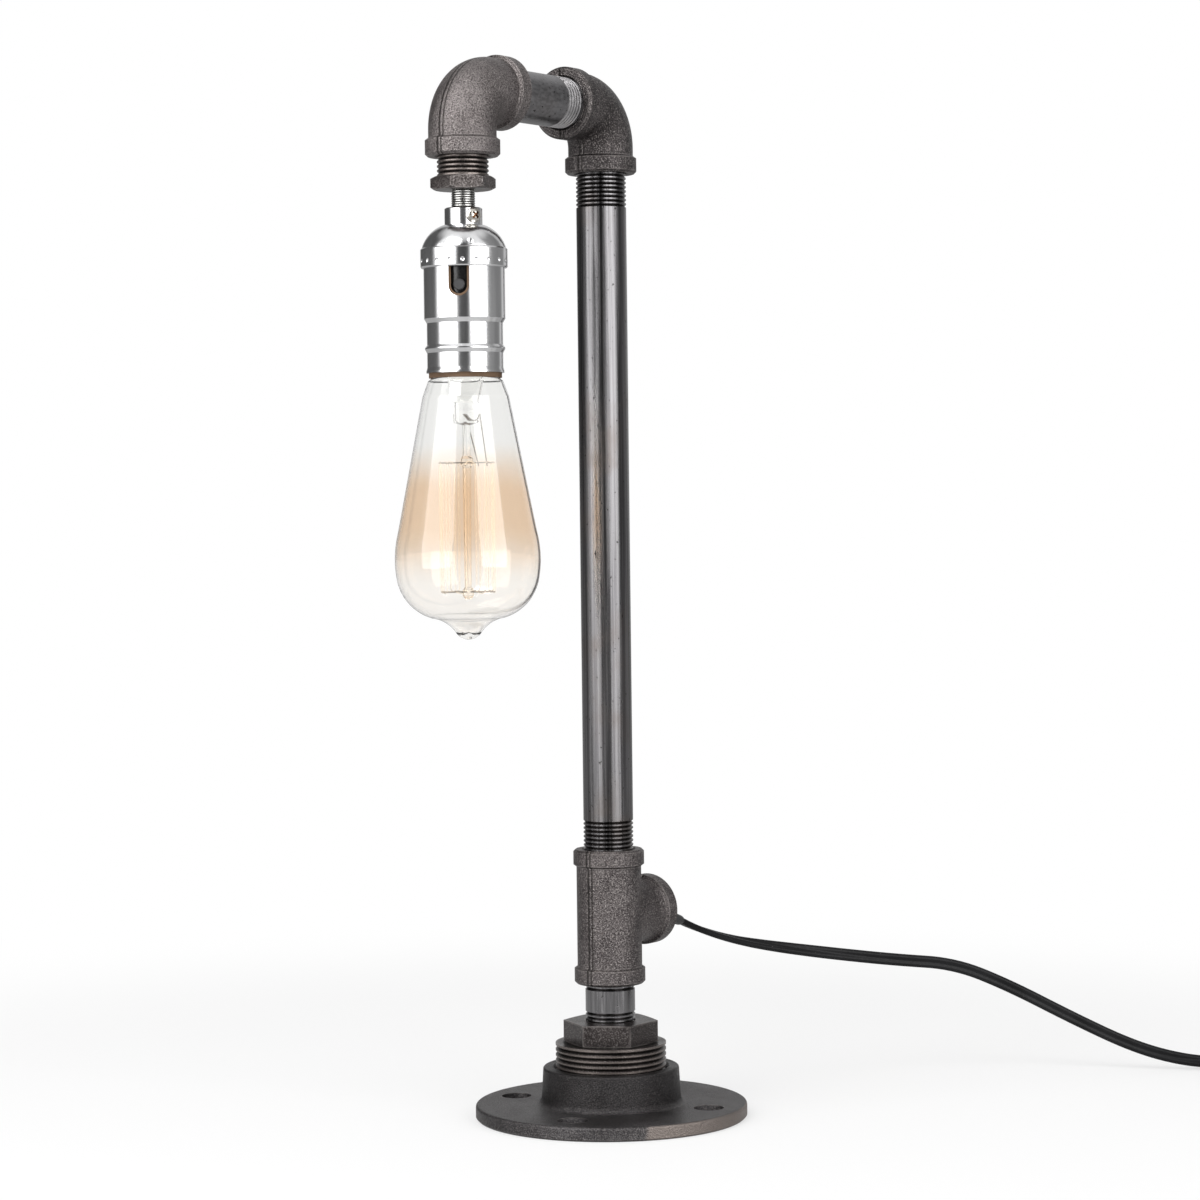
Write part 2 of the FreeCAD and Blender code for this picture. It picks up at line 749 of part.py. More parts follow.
def make_socket_cap():
    """Pressed cap of the lampholder: bored neck, dome and dimpled band. Origin at its rim."""
    neck = size("cap_neck_od") / 2.0
    bore = size("nipple_od") / 2.0 + size("screw_fit")
    dome = size("dome_od") / 2.0
    band = size("cap_band_od") / 2.0
    inside = size("shell_od") / 2.0 + size("slip")
    wall = size("cap_wall")
    shoulder = size("cap_band_height")
    crown = shoulder + size("dome_height")
    top = crown + size("cap_neck_height")
    inner_round = size("dome_round") - wall
    body = turned("socket_cap", [
        (inside, 0.0),
        (band - 0.3, 0.0),
        (band, 0.5),
        (band, shoulder - 0.6),
        (dome, shoulder, size("dome_round"), -1),
        (neck, crown),
        (neck, top - 0.4),
        (neck - 0.4, top),
        (bore, top),
        (bore, crown - wall),
        (neck, crown - wall, inner_round, 1),
        (dome - wall, shoulder),
        (inside, shoulder - wall),
    ])
    dimple = body.newObject("PartDesign::SubtractiveSphere", "band_dimple_cut")
    bind(dimple, "Radius", size("band_dimple") / 2.0)
    out = band + size("band_dimple") / 2.0 - 0.4
    dimple.setExpression(".Placement.Base.x", out.text)
    dimple.setExpression(".Placement.Base.z", (shoulder * 0.32).text)
    document.recompute()
    ring = body.newObject("PartDesign::PolarPattern", "band_dimple_ring")
    ring.Originals = [dimple]
    ring.Axis = (origin_plane(body, "Z_Axis"), [""])
    ring.Angle = 360.0
    bind(ring, "Occurrences", size("band_dimples"))
    body.Tip = ring
    document.recompute()
    dent = body.newObject("PartDesign::SubtractiveSphere", "dome_dent_cut")
    bind(dent, "Radius", size("dome_dent") / 2.0)
    angle = math.radians(SIZES["dome_dent_angle"])
    dent.setExpression(".Placement.Base.x", (size("dome_dent_out") * math.cos(angle)).text)
    dent.setExpression(".Placement.Base.y", (size("dome_dent_out") * math.sin(angle)).text)
    dent.setExpression(".Placement.Base.z", (shoulder + size("dome_dent_rise")).text)
    document.recompute()
    shank = size("screw_shank") / 2.0 + size("screw_fit")
    radial_cylinder(body, "SubtractiveCylinder", "cap_screw_hole", shank, SIZES["screw_angle"],
                    top - size("cap_neck_height") / 2.0, bore - 0.5, neck + 0.5)
    place(body, x=-arm_reach, z=band_low)


def make_cap_screw():
    """Cross-recessed pan-head set screw in the cap's neck, its point on the threaded nipple."""
    shank = size("screw_shank") / 2.0
    head = size("screw_head") / 2.0
    seat = size("cap_neck_od") / 2.0
    point = size("nipple_od") / 2.0
    high = size("screw_head_height")
    body = turned("cap_screw", [
        (0.0, 0.0),
        (shank - 0.5, 0.0),
        (shank, 0.5),
        (shank, seat - point),
        (head, seat - point),
        (head, seat - point + high * 0.4, head * 1.05, -1),
        (0.6, seat - point + high),
        (0.0, seat - point + high),
    ])
    half_long = size("screw_recess") / 2.0
    half_wide = size("recess_width") / 2.0
    for step in range(2):
        turned_by = SIZES["screw_angle"] + 45.0 + 90.0 * step
        cosine = math.cos(math.radians(turned_by))
        sine = math.sin(math.radians(turned_by))
        slot = body.newObject("PartDesign::SubtractiveBox", "cross_recess_%d" % step)
        for prop, formula in (("Length", size("screw_recess")), ("Width", size("recess_width")),
                              ("Height", size("recess_depth"))):
            bind(slot, prop, formula)
        slot.Placement = Placement(Vector(0, 0, 0), Rotation(Vector(0, 0, 1), turned_by))
        slot.setExpression(".Placement.Base.x", (half_wide * sine - half_long * cosine).text)
        slot.setExpression(".Placement.Base.y", (-half_long * sine - half_wide * cosine).text)
        slot.setExpression(".Placement.Base.z", (seat - point + high - size("recess_depth")).text)
        document.recompute()
    angle = math.radians(SIZES["screw_angle"])
    direction = Vector(math.cos(angle), math.sin(angle), 0)
    place(body, x=point * direction.x - arm_reach, y=point * direction.y,
          z=cap_top - size("cap_neck_height") / 2.0, turn=Rotation(Vector(0, 0, 1), direction))


def shell_profile(shrink):
    """Outer line of the lampholder's shell from its rim upwards, drawn in by shrink."""
    lower = size("shell_lower")
    waist = lower + size("shell_waist_height")
    step = waist + size("shell_step")
    upper = size("shell_od") / 2.0 - shrink
    narrow = size("shell_waist") / 2.0 - shrink
    return lower, waist, step, upper, narrow


def make_socket_shell():
    """Pressed shell with a bead, a waist and a U slot for the switch. Origin at its rim."""
    lower, waist, step, upper, narrow = shell_profile(as_size(0.0))
    wall = size("shell_wall")
    bead = size("shell_bead") / 2.0
    top = step + size("shell_upper") + size("shell_lap")
    body = turned("socket_shell", [
        (narrow - wall, 0.0),
        (narrow + 0.4, 0.0),
        (narrow + 0.4, 0.8),
        (narrow, 2.2),
        (narrow, lower - 2.6),
        (bead, lower - 1.0),
        (bead, lower - 0.5),
        (narrow, lower + 0.6),
        (narrow, waist),
        (upper, step),
        (upper, top),
        (upper - wall, top),
        (upper - wall, step),
        (narrow - wall, waist),
    ])
    slot_top = step + size("shell_upper")
    upright_slot(body, "shell_slot", size("slot_width"), slot_top - size("slot_depth"), top + 1.0,
                 SIZES["slot_angle"], upper - 4.0, upper + 2.0)
    place(body, x=-arm_reach, z=shell_low)


def make_shell_liner():
    """Fibre liner inside the shell, standing a little below its rim."""
    gap = size("shell_wall") + size("slip")
    lower, waist, step, upper, narrow = shell_profile(gap)
    wall = size("liner_wall")
    top = step + size("shell_upper") + size("shell_lap") - 1.0
    body = turned("shell_liner", [
        (narrow - wall, -size("liner_proud")),
        (narrow, -size("liner_proud")),
        (narrow, waist),
        (upper, step),
        (upper, top),
        (upper - wall, top),
        (upper - wall, step),
        (narrow - wall, waist),
    ])
    margin = size("slot_margin")
    slot_low = step + size("shell_upper") - size("slot_depth") + margin
    upright_slot(body, "liner_slot", size("slot_width") - margin * 2.0, slot_low, top + 1.0,
                 SIZES["slot_angle"], upper - 4.0, upper + 2.0)
    place(body, x=-arm_reach, z=shell_low)


bulb_rim = shell_low + size("bulb_rim_above_shell")
tip_low = bulb_rim + size("bulb_cap_height") + size("bulb_insulator_height")
tip_top = tip_low + size("bulb_tip_height")
core_low = tip_top - size("contact_recess")
core_roof = tip_top + size("screw_fit") + size("contact_thick")


def make_socket_core():
    """Moulded core that holds the contacts and the switch. Origin at its foot."""
    radius = size("core_od") / 2.0
    top = size("core_height")
    roof = core_roof - core_low
    rivet = size("contact_thick") * 2.0
    body = turned("socket_core", [
        (size("bulb_shoulder") / 2.0, 0.0),
        (radius, 0.0),
        (radius, top - 1.0),
        (radius - 1.0, top),
        (0.0, top),
        (0.0, roof + 3.0),
        (rivet, roof + 3.0),
        (rivet, roof),
        (size("bulb_shoulder") / 2.0, roof),
    ])
    middle = stem_height - core_low
    bore = size("stem_od") / 2.0 + size("screw_fit")
    cam = size("cam_od") / 2.0 + size("turn_gap")
    inner = radius - size("cam_length") - 6.0
    radial_cylinder(body, "SubtractiveCylinder", "core_stem_bore", bore, SIZES["slot_angle"],
                    middle, inner, radius + 1.0)
    pocket_out = inner + size("cam_length") + size("turn_gap") * 2.0
    upright_slot(body, "core_cam_pocket", cam * 2.0, middle - cam, top + 1.0, SIZES["slot_angle"],
                 inner, pocket_out)
    for side in (-1, 1):
        hole = body.newObject("PartDesign::SubtractiveCylinder", "terminal_hole_%d" % (side + 2))
        bind(hole, "Radius", size("screw_shank") / 2.0)
        bind(hole, "Height", size("terminal_head") + 1.0)
        angle = math.radians(SIZES["slot_angle"] + 90.0 * side)
        spread = size("terminal_spread")
        hole.setExpression(".Placement.Base.x", (spread * math.cos(angle)).text)
        hole.setExpression(".Placement.Base.y", (spread * math.sin(angle)).text)
        hole.setExpression(".Placement.Base.z", (top - size("terminal_head")).text)
        document.recompute()
    place(body, x=-arm_reach, z=core_low)
    return inner


def make_switch(inner):
    """Rotary switch: the stem in the slot and the cam it turns."""
    direction = Vector(math.cos(math.radians(SIZES["slot_angle"])),
                       math.sin(math.radians(SIZES["slot_angle"])), 0)
    turn = Rotation(Vector(0, 0, 1), direction)
    cam_start = inner + size("turn_gap")
    stem_start = cam_start + size("cam_length")
    stem = size("stem_od") / 2.0
    reach = size("stem_reach") - stem_start
    body = turned("switch_stem", [
        (0.0, 0.0),
        (stem, 0.0),
        (stem, reach - 0.4),
        (stem - 0.4, reach),
        (0.0, reach),
    ])
    place(body, x=stem_start * direction.x - arm_reach, y=stem_start * direction.y,
          z=stem_height, turn=turn)
    cam = size("cam_od") / 2.0
    body = turned("switch_cam", [
        (0.0, 0.0),
        (cam, 0.0),
        (cam, size("cam_length")),
        (0.0, size("cam_length")),
    ])
    for step in range(4):
        notch = body.newObject("PartDesign::SubtractiveBox", "cam_flat_%d" % step)
        for prop, formula in (("Length", cam), ("Width", cam), ("Height", size("cam_length") * 0.6)):
            bind(notch, prop, formula)
        notch.Placement = Placement(Vector(0, 0, 0), Rotation(Vector(0, 0, 1), 90.0 * step))
        quarter = math.radians(90.0 * step)
        shift = cam * 0.55
        notch.setExpression(".Placement.Base.x",
                            (shift * math.cos(quarter) - shift * math.sin(quarter)).text)
        notch.setExpression(".Placement.Base.y",
                            (shift * math.sin(quarter) + shift * math.cos(quarter)).text)
        document.recompute()
    place(body, x=cam_start * direction.x - arm_reach, y=cam_start * direction.y,
          z=stem_height, turn=turn)


def make_screw_shell():
    """Brass shell that the bulb screws into, hung from the core by its inner flange."""
    inside = size("bulb_thread_od") / 2.0 + size("bulb_fit")
    outside = inside + size("screw_shell_wall")
    top = core_low - bulb_rim
    low = size("liner_proud") + 1.0
    flange = size("screw_shell_wall")
    body = turned("screw_shell", [
        (inside, low - size("bulb_rim_above_shell")),
        (outside, low - size("bulb_rim_above_shell")),
        (outside, top),
        (size("bulb_shoulder") / 2.0 + 0.7, top),
        (size("bulb_shoulder") / 2.0 + 0.7, top - flange),
        (inside, top - flange),
    ])
    place(body, x=-arm_reach, z=bulb_rim)


def make_contacts():
    """Centre contact riveted up into the core, and the two terminal screws on its top."""
    thick = size("contact_thick")
    rivet = thick * 2.0
    body = turned("center_contact", [
        (0.0, 0.0),
        (size("bulb_tip_od") / 2.0 - 0.5, 0.0),
        (size("bulb_tip_od") / 2.0 - 0.5, thick),
        (rivet, thick),
        (rivet, thick + 3.0),
        (0.0, thick + 3.0),
    ])
    place(body, x=-arm_reach, z=core_roof - thick)
    shank = SIZES["screw_shank"] / 2.0
    head = SIZES["terminal_head"] / 2.0
    solids = []
    for side in (-1, 1):
        spot = terminal_spot(side)
        core_top = core_low.value + SIZES["core_height"]
        post = Part.makeCylinder(shank, SIZES["terminal_head"], spot + Vector(0, 0, core_top - 2 * head))
        disc = Part.makeCylinder(head, 2.0, spot + Vector(0, 0, core_top))
        slot = Part.makeBox(2 * head + 1.0, 0.8, 0.9)
        slot.translate(Vector(-head - 0.5, -0.4, 0))
        slot.rotate(Vector(0, 0, 0), Vector(0, 0, 1), 37.0 * side)
        slot.translate(spot + Vector(0, 0, core_top + 1.2))
        solids.append(post.fuse(disc).removeSplitter().cut(slot))
    plain_feature("terminal_screws", Part.makeCompound(solids))


def terminal_spot(side):
    """Place of a terminal screw's axis in plan, one each side of the switch."""
    angle = math.radians(SIZES["slot_angle"] + 90.0 * side)
    spread = SIZES["terminal_spread"]
    return Vector(spread * math.cos(angle) - arm_reach.value, spread * math.sin(angle), 0)


def make_bulb():
    """Squirrel-cage bulb: screw cap, insulator, tip, glass, stem, supports and filament.
    Each turned piece has its origin at the cap's open rim."""
    crest = size("bulb_thread_od") / 2.0
    tooth = size("bulb_tooth")
    wall = size("bulb_cap_wall")
    tall = size("bulb_cap_height")
    inside = crest - tooth - wall
    shoulder = size("bulb_shoulder") / 2.0
    tip = size("bulb_tip_od") / 2.0
    pitch = size("bulb_pitch")
    cap = turned("bulb_cap", [
        (inside, 0.0),
        (crest - 0.4, 0.0),
        (crest, 0.4),
        (crest, tall - 2.0),
        (shoulder, tall),
        (shoulder - 1.0, tall),
        (shoulder - 1.0, tall - wall),
        (inside, tall - 2.0 - wall),
    ])
    count = whole_turns(tall - 3.6, pitch)
    corners_low = as_size(1.2)
    cut_grooves(cap, "bulb_cap_thread", crest, tooth, pitch, corners_low, count)
    height = size("bulb_insulator_height")
    insulator = turned("bulb_insulator", [
        (0.0, tall - wall),
        (shoulder - 1.0, tall - wall),
        (shoulder - 1.0, tall),
        (shoulder, tall),
        (tip, tall + height),
        (0.0, tall + height),
    ])
    top = tall + height + size("bulb_tip_height")
    contact = turned("bulb_tip", [
        (0.0, tall + height),
        (tip, tall + height),
        (tip * 0.9, top - 0.5),
        (tip * 0.5, top),
        (0.0, top),
    ])
    glass = turned("bulb_glass", glass_corners())
    stem = turned("bulb_stem", stem_corners())
    for piece in (cap, insulator, contact, glass, stem):
        place(piece, x=-arm_reach, z=bulb_rim)


def glass_corners():
    """Hollow envelope: narrow neck, straight flanks, round shoulder, shallow cone and tip."""
    wall = size("glass_wall")
    neck = size("glass_neck") / 2.0
    widest = size("glass_widest") / 2.0
    length = size("glass_length")
    out = size("flare_out")
    drop = size("flare_drop")
    slope = neck + size("slope_out")
    flank = widest - size("flank_in")
    shoulder = widest - size("shoulder_in")
    shoulder_low = size("shoulder_rise") - length
    dip = size("dip_radius")
    dip_low = size("dip_rise") - length
    # the sealed tip is part of a sphere centred on the axis
    tip = size("tip_radius")
    rise = size("tip_rise")
    sphere = (tip * tip + rise * rise) / (rise * 2.0)
    outer = [
        (neck, size("glass_in_cap")),
        (neck, drop * 0.08),
        (neck + out * 0.55, -drop * 0.63),
        (neck + out, -drop),
        (slope, -size("slope_drop")),
        (flank, -size("flank_drop"), size("flank_round"), -1),
        (shoulder, shoulder_low, size("shoulder_round"), -1),
        (dip, dip_low, size("dip_round"), 1),
        (tip, rise - length, sphere, -1),
        (0.0, -length),
    ]
    inner = [
        (0.0, wall - length),
        (tip - wall * 0.5, rise + wall - length, size("dip_round") + wall, -1),
        (dip - wall * 0.55, dip_low + wall * 0.85, size("shoulder_round") - wall, 1),
        (shoulder - wall, shoulder_low, size("flank_round") - wall, 1),
        (flank - wall, -size("flank_drop")),
        (slope - wall, -size("slope_drop")),
        (neck + out * 0.95 - wall, -drop * 0.9),
        (neck + out * 0.47 - wall, -drop * 0.42),
        (neck - wall, wall * 1.1),
        (neck - wall, size("glass_in_cap")),
    ]
    return [flipped(c) for c in outer] + [flipped(c) for c in inner]


def flipped(corner):
    """Arcs of the envelope run downwards here, so their bulge changes side."""
    if len(corner) == 2:
        return corner
    return (corner[0], corner[1], corner[2], -corner[3])


def stem_corners():
    """Glass flare, press and central rod with its two beads."""
    rod = size("rod_od") / 2.0
    thin = rod * 0.8
    wall = size("glass_wall")
    neck = size("glass_neck") / 2.0 - wall
    brim = size("glass_in_cap") - 0.1
    press = size("press_od") / 2.0
    out = size("bead_out")
    half = size("bead_half")
    return [
        (0.0, -size("press_top")),
        (press - wall * 1.2, wall * 0.5 - size("press_top")),
        (neck - wall * 1.2, brim),
        (neck, brim),
        (press, -size("press_top")),
        (press, wall - size("press_low")),
        (press - wall, -size("press_low")),
        (rod, -size("press_low") - wall),
        (rod, cage_top + half * 2.0),
        (rod + out, cage_top + half),
        (rod + out, cage_top - half),
        (rod, cage_top - half * 2.0),
        (thin, cage_low + half * 2.0),
        (thin + out, cage_low + half),
        (thin + out, cage_low - half),
        (thin * 0.75, cage_low - half * 2.2),
        (0.0, cage_low - half * 2.2),
    ]


cage_top = -size("cage_top_drop")
cage_low = size("cage_low_rise") - size("glass_length")


def bulb_point(radius, angle, height):
    """Point of the bulb in the lamp's frame."""
    return Vector(radius * math.cos(angle) - arm_reach.value, radius * math.sin(angle),
                  bulb_rim.value + height)


def swept(edges, section, volume_note=None):
    """Solid swept along joined edges with a closed section at their start."""
    wire = Part.Wire(edges)
    solid = wire.makePipeShell([section], True, False)
    if volume_note:
        print("%s: path %.1f mm, volume %.1f mm3" % (volume_note, wire.Length, solid.Volume))
    return solid


def round_section(radius, start, direction):
    return Part.Wire(Part.makeCircle(radius, start, direction))


def make_cage():
    """Filament wound up and down round the rod, the wires that hold it and its two leads."""
    cage = SIZES["cage_radius"]
    strands = 2 * int(SIZES["strand_pairs"])
    step = 2.0 * math.pi / strands
    wire = SIZES["filament_od"] / 2.0
    support = SIZES["support_od"] / 2.0
    hook = cage * math.sin(step / 2.0)
    high = cage_top.value - hook
    low = cage_low.value + hook
    edges = []
    for strand in range(strands):
        angle = (strand + 0.5) * step
        ends = [bulb_point(cage, angle, high), bulb_point(cage, angle, low)]
        if strand % 2:
            ends.reverse()
        edges.append(Part.LineSegment(ends[0], ends[1]).toShape())
        if strand == strands - 1:
            break
        turn_height = low - hook if strand % 2 == 0 else high + hook
        middle = bulb_point(cage * math.cos(step / 2.0), angle + step / 2.0, turn_height)
        following = bulb_point(cage, angle + step, low if strand % 2 == 0 else high)
        edges.append(Part.Arc(ends[1], middle, following).toShape())
    start = bulb_point(cage, step / 2.0, high)
    plain_feature("filament", swept(edges, round_section(wire, start, Vector(0, 0, -1))))
    rods = []
    rod = SIZES["rod_od"] / 2.0
    inset = wire + support + 0.02
    for index in range(1, strands):
        angle = index * step
        height = cage_low.value + inset if index % 2 else cage_top.value - inset
        inner = SIZES["bead_out"] + (rod * 0.8 if index % 2 else rod)
        start = bulb_point(inner, angle, height)
        direction = Vector(math.cos(angle), math.sin(angle), 0)
        rods.append(Part.makeCylinder(support, cage + 0.4 - inner, start, direction))
    plain_feature("support_wires", Part.makeCompound(rods))
    leads = []
    for side in (-1, 1):
        start = bulb_point(SIZES["press_od"] / 2.0 + support + 0.05, side * 0.7, -SIZES["lead_drop"])
        stop = bulb_point(cage, side * step / 2.0, high + support + wire)
        run = stop - start
        leads.append(Part.makeCylinder(support, run.Length, start, run))
    plain_feature("lead_wires", Part.makeCompound(leads))


def corner_arc(before, corner, after, radius):
    """Tangent arc at a corner of a route, as its three points."""
    arriving = (corner - before).normalize()
    leaving = (after - corner).normalize()
    turn = arriving.getAngle(leaving)
    trim = radius * math.tan(turn / 2.0)
    inward = (leaving - arriving).normalize()
    depth = radius / math.cos(turn / 2.0) - radius
    return corner - arriving * trim, corner + inward * depth, corner + leaving * trim


def tube_edges(points, radius=None):
    """Straight runs joined by tangent arcs, as large as the shorter run beside them allows."""
    edges = []
    last = points[0]
    radii = []
    for before, corner, after in zip(points, points[1:], points[2:]):
        turn = (corner - before).getAngle(after - corner)
        shorter = min((corner - before).Length, (after - corner).Length)
        bend = radius or 0.45 * shorter / math.tan(turn / 2.0)
        start, middle, stop = corner_arc(before, corner, after, bend)
        edges.append(Part.LineSegment(last, start).toShape())
        edges.append(Part.Arc(start, middle, stop).toShape())
        last = stop
        radii.append(bend)
    edges.append(Part.LineSegment(last, points[-1]).toShape())
    return edges, radii


def make_tube(label, points, diameter, radius=None):
    """Round tube along a route; prints its bends and compares its volume with its length."""
    edges, radii = tube_edges(points, radius)
    section = round_section(diameter / 2.0, points[0], points[1] - points[0])
    solid = swept(edges, section)
    length = sum(edge.Length for edge in edges)
    print("%s: length %.1f mm, volume %.1f of %.1f mm3, bends %s" % (
        label, length, solid.Volume, math.pi * diameter * diameter / 4.0 * length,
        " ".join("%.0f" % r for r in radii)))
    return plain_feature(label, solid), length


def cord_exit():
    """Where the cord leaves the bushing's lip, in the lower half of the tee's outlet."""
    return Vector(SIZES["branch_reach"] + SIZES["grommet_lip"], 0,
                  tee_height.value - SIZES["grommet_drop"])


def make_inner_cord():
    """The cord inside the pipes, parted where the arm and the head turn."""
    width = SIZES["cord_width"]
    gap = SIZES["piece_gap"] / 2.0
    tee = tee_height.value
    arm = arm_height.value
    reach = SIZES["elbow_reach"]
    leave = cord_exit() - Vector(gap * 4.0, 0, 0)
    part_height = arm - reach + 2.0
    make_tube("riser_cord", [
        leave, Vector(SIZES["branch_reach"] * 0.35, 0, leave.z), Vector(1.5, 0, tee + 13.0),
        Vector(0, 0, tee + 32.0), Vector(0, 0, part_height - gap)], width)
    part_reach = reach - arm_reach.value - 2.0
    bend = SIZES["cord_bend"]
    make_tube("arm_cord", [
        Vector(0, 0, part_height + gap), Vector(0, 0, arm), Vector(part_reach + gap, 0, arm)],
        width, bend)
    x = -arm_reach.value
    knot = dome_top.value - 4.6
    tube, length = make_tube("head_cord", [
        Vector(part_reach - gap, 0, arm), Vector(x, 0, arm), Vector(x, 0, knot)], width, bend)
    ring = Part.makeTorus(3.2, 2.4, Vector(x, 0, knot + 1.4), Vector(0.25, 0.1, 1))
    tube.Shape = tube.Shape.fuse(ring).removeSplitter()
    make_leads(x, knot)


def make_leads(x, knot):
    """The two conductors from the knot to the terminal screws."""
    thick = 2.2
    leads = []
    top = core_low.value + SIZES["core_height"]
    for side in (-1, 1):
        spot = terminal_spot(side)
        out = (spot - Vector(x, 0, 0)).normalize()
        begin = Vector(x, 0, knot - 1.8) + out * 1.35
        shoulder = Vector(x, 0, knot - 4.6) + out * 2.6
        final = spot + Vector(0, 0, top + 2.3)
        points = [begin, shoulder, final + Vector(0, 0, 2.6) - out * 0.6, final]
        edges, radii = tube_edges(points)
        leads.append(swept(edges, round_section(thick / 2.0, points[0], points[1] - points[0])))
    plain_feature("socket_leads", Part.makeCompound(leads))


def make_grommet():
    """Rubber bushing pressed into the tee's side outlet, its lip on the outlet's face and the
    cord's hole below its middle."""
    hole = size("cord_width") / 2.0 + size("slip")
    long = size("grommet_length")
    body = new_body("cord_grommet")
    lip = size("grommet_lip")
    corners = [
        (-long, 0.0),
        (-long, half_pipe - 0.6),
        (-long + 0.8, half_pipe),
        (0.0, half_pipe),
        (0.0, half_pipe + 2.0),
        (lip - 0.4, half_pipe + 2.0),
        (lip, half_pipe + 1.4),
        (lip, 0.0),
    ]
    revolve(body, "Revolution", "grommet_turning", corners, "H_Axis")
    radial_cylinder(body, "SubtractiveCylinder", "grommet_hole", hole, 0.0, -size("grommet_drop"),
                    -long - 1.0, lip + 1.0)
    place(body, x=size("branch_reach"), z=tee_height)


# the cord's free stretch, from the grommet down to the table and along it to the coil
RUN_ROUTE = [
    (44.5, -0.8, 81.6),
    (59.0, -4.0, 74.6),
    (76.0, -10.8, 68.2),
    (94.0, -19.0, 63.6),
    (120.0, -36.6, 58.2),
    (146.0, -56.5, 53.4),
    (166.5, -75.5, 50.6),
    (183.0, -95.0, 39.6),
    (201.0, -116.5, 24.6),
    (217.5, -139.0, 11.0),
    (229.5, -157.5, 4.6),
    (241.0, -173.5, 2.8),
    (251.5, -188.0, 2.8),
]
DEPTH_ANGLE = math.radians(35.0)


def coil_point(radius, turned_by, height):
    """Point of the coil: the turn runs clockwise, seen from above, from its far side."""
    angle = DEPTH_ANGLE - turned_by
    return Vector(SIZES["coil_x"] + radius * math.cos(angle),
                  SIZES["coil_y"] + radius * math.sin(angle), height)


def coil_quarters():
    """Radius and height at each quarter turn. The spiral runs in and out again at a steady
    rate, and climbs a layer in the half turn where it reverses."""
    step = SIZES["turn_pitch"] / 4.0
    radius = SIZES["coil_radius"]
    height = coil_foot()
    places = [(radius, height, -step, 0.0)]
    layers = ((6, -1), (6, 1), (6, -1), (5, 1))
    for number, (quarters, inward) in enumerate(layers):
        if number:
            climb = SIZES["layer_pitch"] / 2.0
            radius -= inward * step
            height += climb
            places.append((radius, height, 0.0, climb * 1.3))
            radius += inward * step
            height += climb
            places.append((radius, height, inward * step, 0.0))
        for _ in range(quarters):
            radius += inward * step
            places.append((radius, height, inward * step, 0.0))
    return places


def coil_foot():
    """Height of the cord's middle in the lowest layer, which lies on the tie's strap."""
    return SIZES["tie_thick"] + SIZES["piece_gap"] + 0.1 + SIZES["cord_thick"] / 2.0


def biarc(start, leave, stop, arrive):
    """Two arcs that join two places of a path and keep its direction at both."""
    chord = stop - start
    both = leave + arrive
    steep = 2.0 * (1.0 - leave.dot(arrive))
    along = chord.dot(both)
    if steep < 1e-9:
        reach = chord.dot(chord) / (4.0 * chord.dot(arrive))
    else:
        reach = (-along + math.sqrt(along * along + steep * chord.dot(chord))) / steep
    first = start + leave * reach
    second = stop - arrive * reach
    joint = (first + second) * 0.5
    return [arc_from(start, leave, joint), arc_from(joint, (second - first).normalize(), stop)]


def arc_from(start, leave, stop):
    """Arc that leaves start in a direction and ends at stop."""
    chord = stop - start
    across = chord - leave * chord.dot(leave)
    if across.Length < 1e-6:
        return Part.LineSegment(start, stop).toShape()
    normal = across.normalize()
    radius = chord.dot(chord) / (2.0 * chord.dot(normal))
    centre = start + normal * radius
    outward = ((start + stop) * 0.5 - centre).normalize()
    return Part.Arc(start, centre + outward * radius, stop).toShape()


def flat_section(place, direction):
    """The flat cord's outline, round at both edges, square to its path and level."""
    half = SIZES["cord_thick"] / 2.0
    lobe = SIZES["cord_width"] / 2.0 - half
    level = direction.cross(Vector(0, 0, 1)).normalize()
    up = Vector(0, 0, 1) * half
    side = level * lobe
    edge = level * half
    return Part.Wire([
        Part.LineSegment(place - side + up, place + side + up).toShape(),
        Part.Arc(place + side + up, place + side + edge, place + side - up).toShape(),
        Part.LineSegment(place + side - up, place - side - up).toShape(),
        Part.Arc(place - side - up, place - side - edge, place - side + up).toShape(),
    ])


def make_coil():
    """The put-away length: one unbroken flat cord in four layers, and its tail to the plug."""
    quarters = coil_quarters()
    quarter = math.pi / 2.0
    spots = []
    for index, (radius, height, drift, climb) in enumerate(quarters):
        angle = DEPTH_ANGLE - index * quarter
        ahead = Vector(math.sin(angle), -math.cos(angle), 0) * (radius * quarter)
        outward = Vector(math.cos(angle), math.sin(angle), 0) * drift
        direction = (ahead + outward + Vector(0, 0, climb)).normalize()
        spots.append((coil_point(radius, index * quarter, height), direction))
    edges = []
    for (start, leave), (stop, arrive) in zip(spots, spots[1:]):
        edges += biarc(start, leave, stop, arrive)
    last, heading = spots[-1]
    level = Vector(heading.x, heading.y, 0).normalize()
    straight = SIZES["cord_width"]
    foot = last + level * (SIZES["tail_reach"] - straight)
    foot.z = SIZES["plug_thick"] / 2.0
    edges += biarc(last, heading, foot, level)
    entry = foot + level * straight
    edges.append(Part.LineSegment(foot, entry).toShape())
    solid = swept(edges, flat_section(spots[0][0], spots[0][1]), "cord_coil")
    print("cord_coil: least gap to itself %.2f mm" % least_gap(edges[:2 * (len(quarters) - 1)]))
    plain_feature("cord_coil", solid)
    return sum(edge.Length for edge in edges), entry, level


